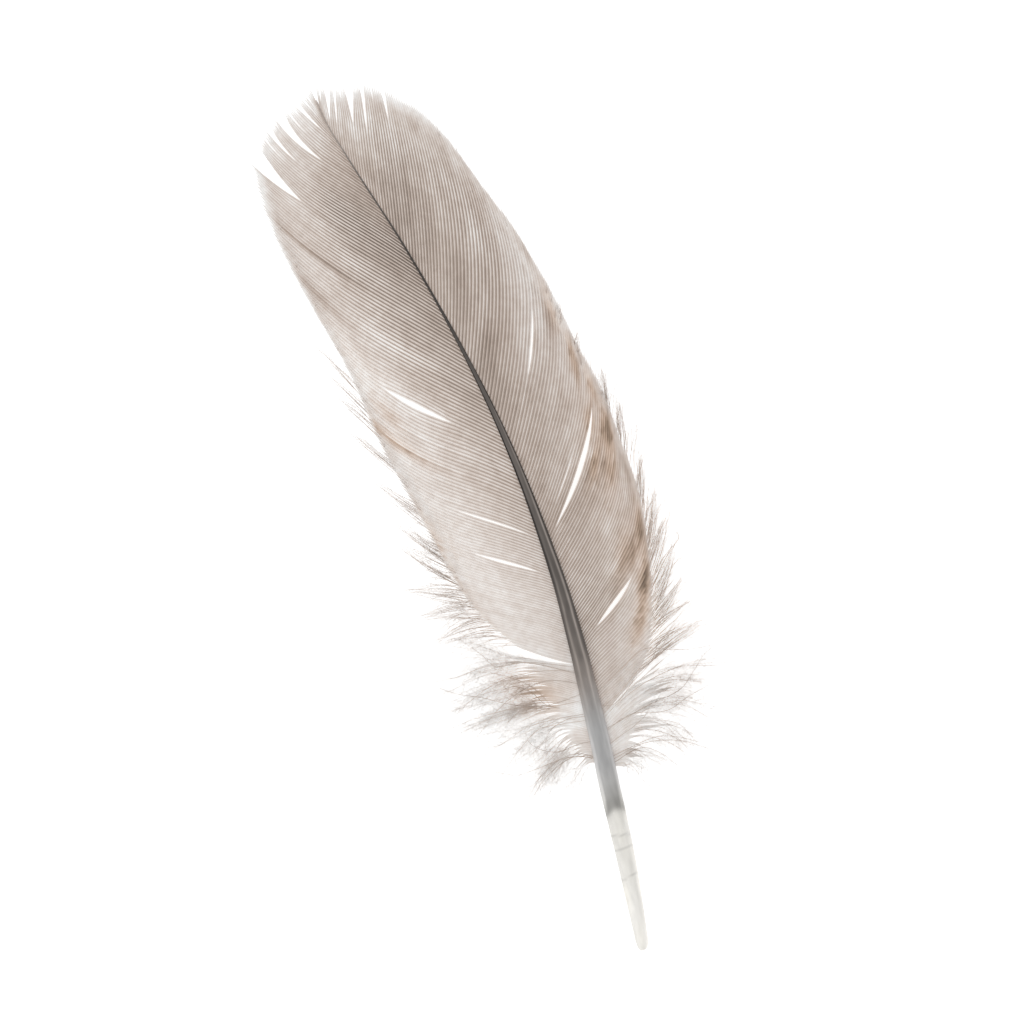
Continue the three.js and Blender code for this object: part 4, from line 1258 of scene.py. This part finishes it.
def make_down(name, side, strands, strays, seed):
    rng = np.random.default_rng(seed)
    first, last = strands[0][0][0], strands[-1][0][0]
    roots = np.arange(first, last, -DOWN_SPACING)
    barbs = down_barbs(rng, side, strands, roots)
    around = rng.uniform(last, first, int(len(roots) * DOWN_THREADS))
    path, apart = down_threads(rng, side, strands, strays, around)
    n = len(path)
    share = np.linspace(0, 1, DOWN_RINGS)[None]
    thick = np.where(apart, THREAD_RADII[1], THREAD_RADII[0])[:, None]
    radius = thick * (0.35 + 0.65 * ease(0.0, 0.2, share) * ease(1.3, 0.4, share))
    browned = tuft(path[..., 0], path[..., 1])
    tinge = 0.12 * rng.standard_normal((n, 1))
    tone = np.where(apart, THREAD_TONES[1], THREAD_TONES[0])[:, None]
    grey = tone + 10 * rng.standard_normal((n, 1)) - TUFT_DARKER[1] * browned
    grey = grey + down_change(side, path[..., 0], path[..., 1])
    brown = np.clip(0.45 + tinge + 0.65 * browned, 0, 1)
    values = thread_values(np.clip(grey, 90, 245), brown, share)
    ends = path[:, -1] + tangents(path)[:, -1] * END_STEP
    threads = strips(tubes(path, radius), ends, THREAD_GIRTH, values, area=(0.15, 0.4), columns=3)

    def colour(owner, at, base):
        browned = tuft(base[:, 0], base[:, 1])
        grey = HAIR_TONE + 6 * rng.standard_normal(len(owner)) - TUFT_DARKER[1] * browned
        grey = np.minimum(250, grey + 0.7 * down_change(side, base[:, 0], base[:, 1]))
        brown = 0.2 + 0.8 * browned + 0.1 * rng.standard_normal(len(owner))
        return grey, np.clip(brown, 0, 1)

    carried = (np.where(apart, 0.25, 0.1), np.full(n, 0.98))
    hairs = barbules(
        rng, path, carried, per_mm=5.2, length=(0.6, 3.6), colour=colour, area=(0.4, 1), columns=32)
    bundles = [barbs, threads, hairs]
    sharp = np.zeros(sum(len(b["points"]) for b in bundles), bool)
    sharp[:len(barbs["points"])] = web_edges(len(roots), DOWN_RINGS)
    material = barb_material(name + "_fluff", *FLUFF_SURFACE)
    return make_piece(name, bundles, material, sharp)


# Threads in a cluster, how many more there are toward the quill, the rings of a thread and the
# farthest that it reaches across.
CLUSTER_THREADS = (5, 7)
LOOSE_RINGS = 18
LOOSE_REACH = 20.15
# Radius of a thread at its ends and how much thicker it is between them.
LOOSE_RADII = (0.008, 0.022)
CLUSTER_THICKER = 1.25
LOOSE_HAIR_TONE = 234


def loose_curves(rng, side, mains, wild):
    """Starts, bends and ends (n, 2) of the loose threads, and how many of them are in clusters."""
    starts, bends, ends = [], [], []

    def leave(root, share):
        """Where a barb's end comes loose, and the way that it heads there."""
        controls = barb_controls(SIDES[side]["barbs"], side, np.array([root]))
        reach = np.hypot(*(controls[0, 3] - controls[0, 0]))
        share = share * (1 + min(0.0, float(smooth(SIDES[side]["growth"], root))) / reach)
        start, ahead = curve_points(controls, np.array([share, share + 0.02]))[0]
        return start, (ahead - start) / np.linalg.norm(ahead - start)

    for root, share, x, y in mains:
        for _ in range(int(CLUSTER_THREADS[0] + CLUSTER_THREADS[1] * ease(4, -16, root))):
            start, way = leave(root + rng.uniform(-1.3, 1.3), rng.uniform(share - 0.04, 0.98))
            end = np.array([x, y]) + rng.normal(0, 0.25, 2)
            end = start + (end - start) * rng.uniform(0.72, 1.0)
            arm = np.linalg.norm(end - start) * rng.uniform(0.3, 0.5)
            starts.append(start)
            bends.append(start + way * arm)
            ends.append(end)
    clustered = len(starts)
    root = wild[0][0]
    while root < wild[-1][0]:
        start, way = leave(root, rng.uniform(0.94, 0.995))
        reach = float(smooth(wild, root)) * rng.uniform(0.2, 1.0)
        turn = side * (float(smooth(wild, root, 3)) + rng.normal(0, 9)) * RAD
        out = np.array([
            way[0] * math.cos(turn) - way[1] * math.sin(turn),
            way[0] * math.sin(turn) + way[1] * math.cos(turn),
        ])
        starts.append(start)
        bends.append(start + way * reach * rng.uniform(0.25, 0.5))
        ends.append(start + out * reach)
        root += float(smooth(wild, root, 2)) * rng.uniform(0.5, 1.5)
    return np.array(starts), np.array(bends), np.array(ends), clustered


def make_loose(name, side, mains, wild, tone, seed):
    """Loose ends past the vane's edge: clusters that share a tip, and shorter wild ones."""
    rng = np.random.default_rng(seed)
    *curves, clustered = loose_curves(rng, side, mains, wild)
    a, b, c = (points[:, None] for points in curves)
    n = len(a)
    share = np.linspace(0, 1, LOOSE_RINGS)[None]
    t = share[..., None]
    flat = (1 - t) ** 2 * a + 2 * (1 - t) * t * b + t**2 * c
    phase = rng.uniform(0, WAVE_PHASE, (n, 1, 2))
    flat = flat + 0.16 * t**1.5 * waves(rng.uniform(4, 11, (n, 1, 2)), phase, t)
    flat[..., 1] = side * np.minimum(side * flat[..., 1], LOOSE_REACH)
    base = vane_height(flat[..., 0], flat[..., 1], side)
    height = base - 0.1 + rng.uniform(0.1, 1.0, n)[:, None] * ease(0.25, 0.8, share)
    path = np.concatenate([flat, height[..., None]], axis=-1)
    in_cluster = (np.arange(n) < clustered)[:, None]
    thick = ease(-0.3, 0.15, share) * ease(1.1, 0.3, share)
    radius = LOOSE_RADII[0] + LOOSE_RADII[1] * thick
    radius = radius * np.where(in_cluster, CLUSTER_THICKER, 1.0)
    grey = tone[0] + 10 * rng.standard_normal(n)[:, None] - 10 * in_cluster
    grey = grey + 16 * share + 44 * ease(0.3, 0.0, share)
    low = ease(6, -14, path[:, :1, 0])
    tinge = np.clip(tone[1] * low + 0.15 + 0.2 * rng.standard_normal((n, 1)), 0, 1)
    values = thread_values(np.clip(grey, 60, 245), tinge, share)
    tips = path[:, -1] + tangents(path)[:, -1] * 0.25
    threads = strips(tubes(path, radius), tips, THREAD_GIRTH, values, area=(0, 0.35), columns=4)

    def colour(owner, at, where):
        return LOOSE_HAIR_TONE + 6 * rng.standard_normal(len(owner)), np.clip(tinge[owner, 0] * 0.7, 0, 1)

    carried = (np.full(n, 0.3), np.full(n, 0.95))
    hairs = barbules(
        rng, path, carried, per_mm=2.2, length=(0.4, 2.4), colour=colour, area=(0.35, 1), columns=24)
    material = barb_material(name + "_threads", *FLUFF_SURFACE)
    return make_piece(name, [threads, hairs], material)


# --- Stage -----------------------------------------------------------------------------------

# The point that the camera is over, its directions, the width that it sees and at what level.
CAMERA_OVER = (-0.48, 0.76)
CAMERA_RIGHT = (-0.3547, -0.9350, 0)
CAMERA_UP = (0.9350, -0.3547, 0)
VIEW_WIDTH = 144.4
VIEW_LEVEL = 3.0
LENS, SENSOR = 100, 36
CLIP_START = 0.01
# The floor, the paper on it, the light of the room and the lamp, in metres and watts.
FLOOR_HALF = 1.5
PAPER_GREY = 0.55
PAPER_GLOW = 0.72
WORLD_STRENGTH = 0.82
WHITE = (1, 1, 1, 1)
LAMP_SIZE = 0.6
LAMP_ENERGY = 1.6
LAMP_PLACE = (0.25, 0.45, 0.65)


def make_camera():
    data = bpy.data.cameras.new("camera")
    data.lens = LENS
    data.sensor_width = SENSOR
    data.clip_start = CLIP_START
    camera = bpy.data.objects.new("camera", data)
    bpy.context.scene.collection.objects.link(camera)
    height = VIEW_WIDTH * LENS / SENSOR + VIEW_LEVEL
    turn = Matrix((CAMERA_RIGHT, CAMERA_UP, (0, 0, 1))).transposed()
    where = Matrix.Translation((CAMERA_OVER[0] * MM, CAMERA_OVER[1] * MM, height * MM))
    camera.matrix_world = where @ turn.to_4x4()
    bpy.context.scene.camera = camera


def make_stage():
    mesh = bpy.data.meshes.new("floor")
    turns = ((-1, -1), (1, -1), (1, 1), (-1, 1))
    corners = [(x * FLOOR_HALF, y * FLOOR_HALF, 0) for x, y in turns]
    mesh.from_pydata(corners, [], [(0, 1, 2, 3)])
    floor = bpy.data.objects.new("floor", mesh)
    bpy.context.scene.collection.objects.link(floor)
    m = Nodes("floor_paper")
    m.set(Base_Color=(PAPER_GREY, PAPER_GREY, PAPER_GREY, 1), Roughness=0.9)
    m.set(Emission_Color=WHITE, Emission_Strength=PAPER_GLOW)
    mesh.materials.append(m.material)


def make_light():
    scene = bpy.context.scene
    scene.view_settings.view_transform = "Standard"
    world = bpy.data.worlds.new("studio")
    scene.world = world
    world.use_nodes = True
    background = world.node_tree.nodes["Background"]
    background.inputs["Color"].default_value = WHITE
    background.inputs["Strength"].default_value = WORLD_STRENGTH
    data = bpy.data.lights.new("softbox", "AREA")
    data.shape = "SQUARE"
    data.size = LAMP_SIZE
    data.energy = LAMP_ENERGY
    lamp = bpy.data.objects.new("softbox", data)
    scene.collection.objects.link(lamp)
    lamp.location = LAMP_PLACE
    aim = -lamp.location.normalized()
    lamp.rotation_euler = aim.to_track_quat("-Z", "Y").to_euler()


make_camera()
make_stage()
make_light()
make_shaft()
make_vane("left_vane", LEFT, 11)
make_vane("right_vane", RIGHT, 12)
make_down("left_down", LEFT, LEFT_STRANDS, LEFT_STRAYS, 21)
make_down("right_down", RIGHT, RIGHT_STRANDS, RIGHT_STRAYS, 22)
make_loose("left_fringe", LEFT, LEFT_LOOSE, LEFT_WILD, (196, 0.2), 31)
make_loose("right_fringe", RIGHT, RIGHT_LOOSE, RIGHT_WILD, (184, 0.55), 32)

bpy.context.view_layer.update()
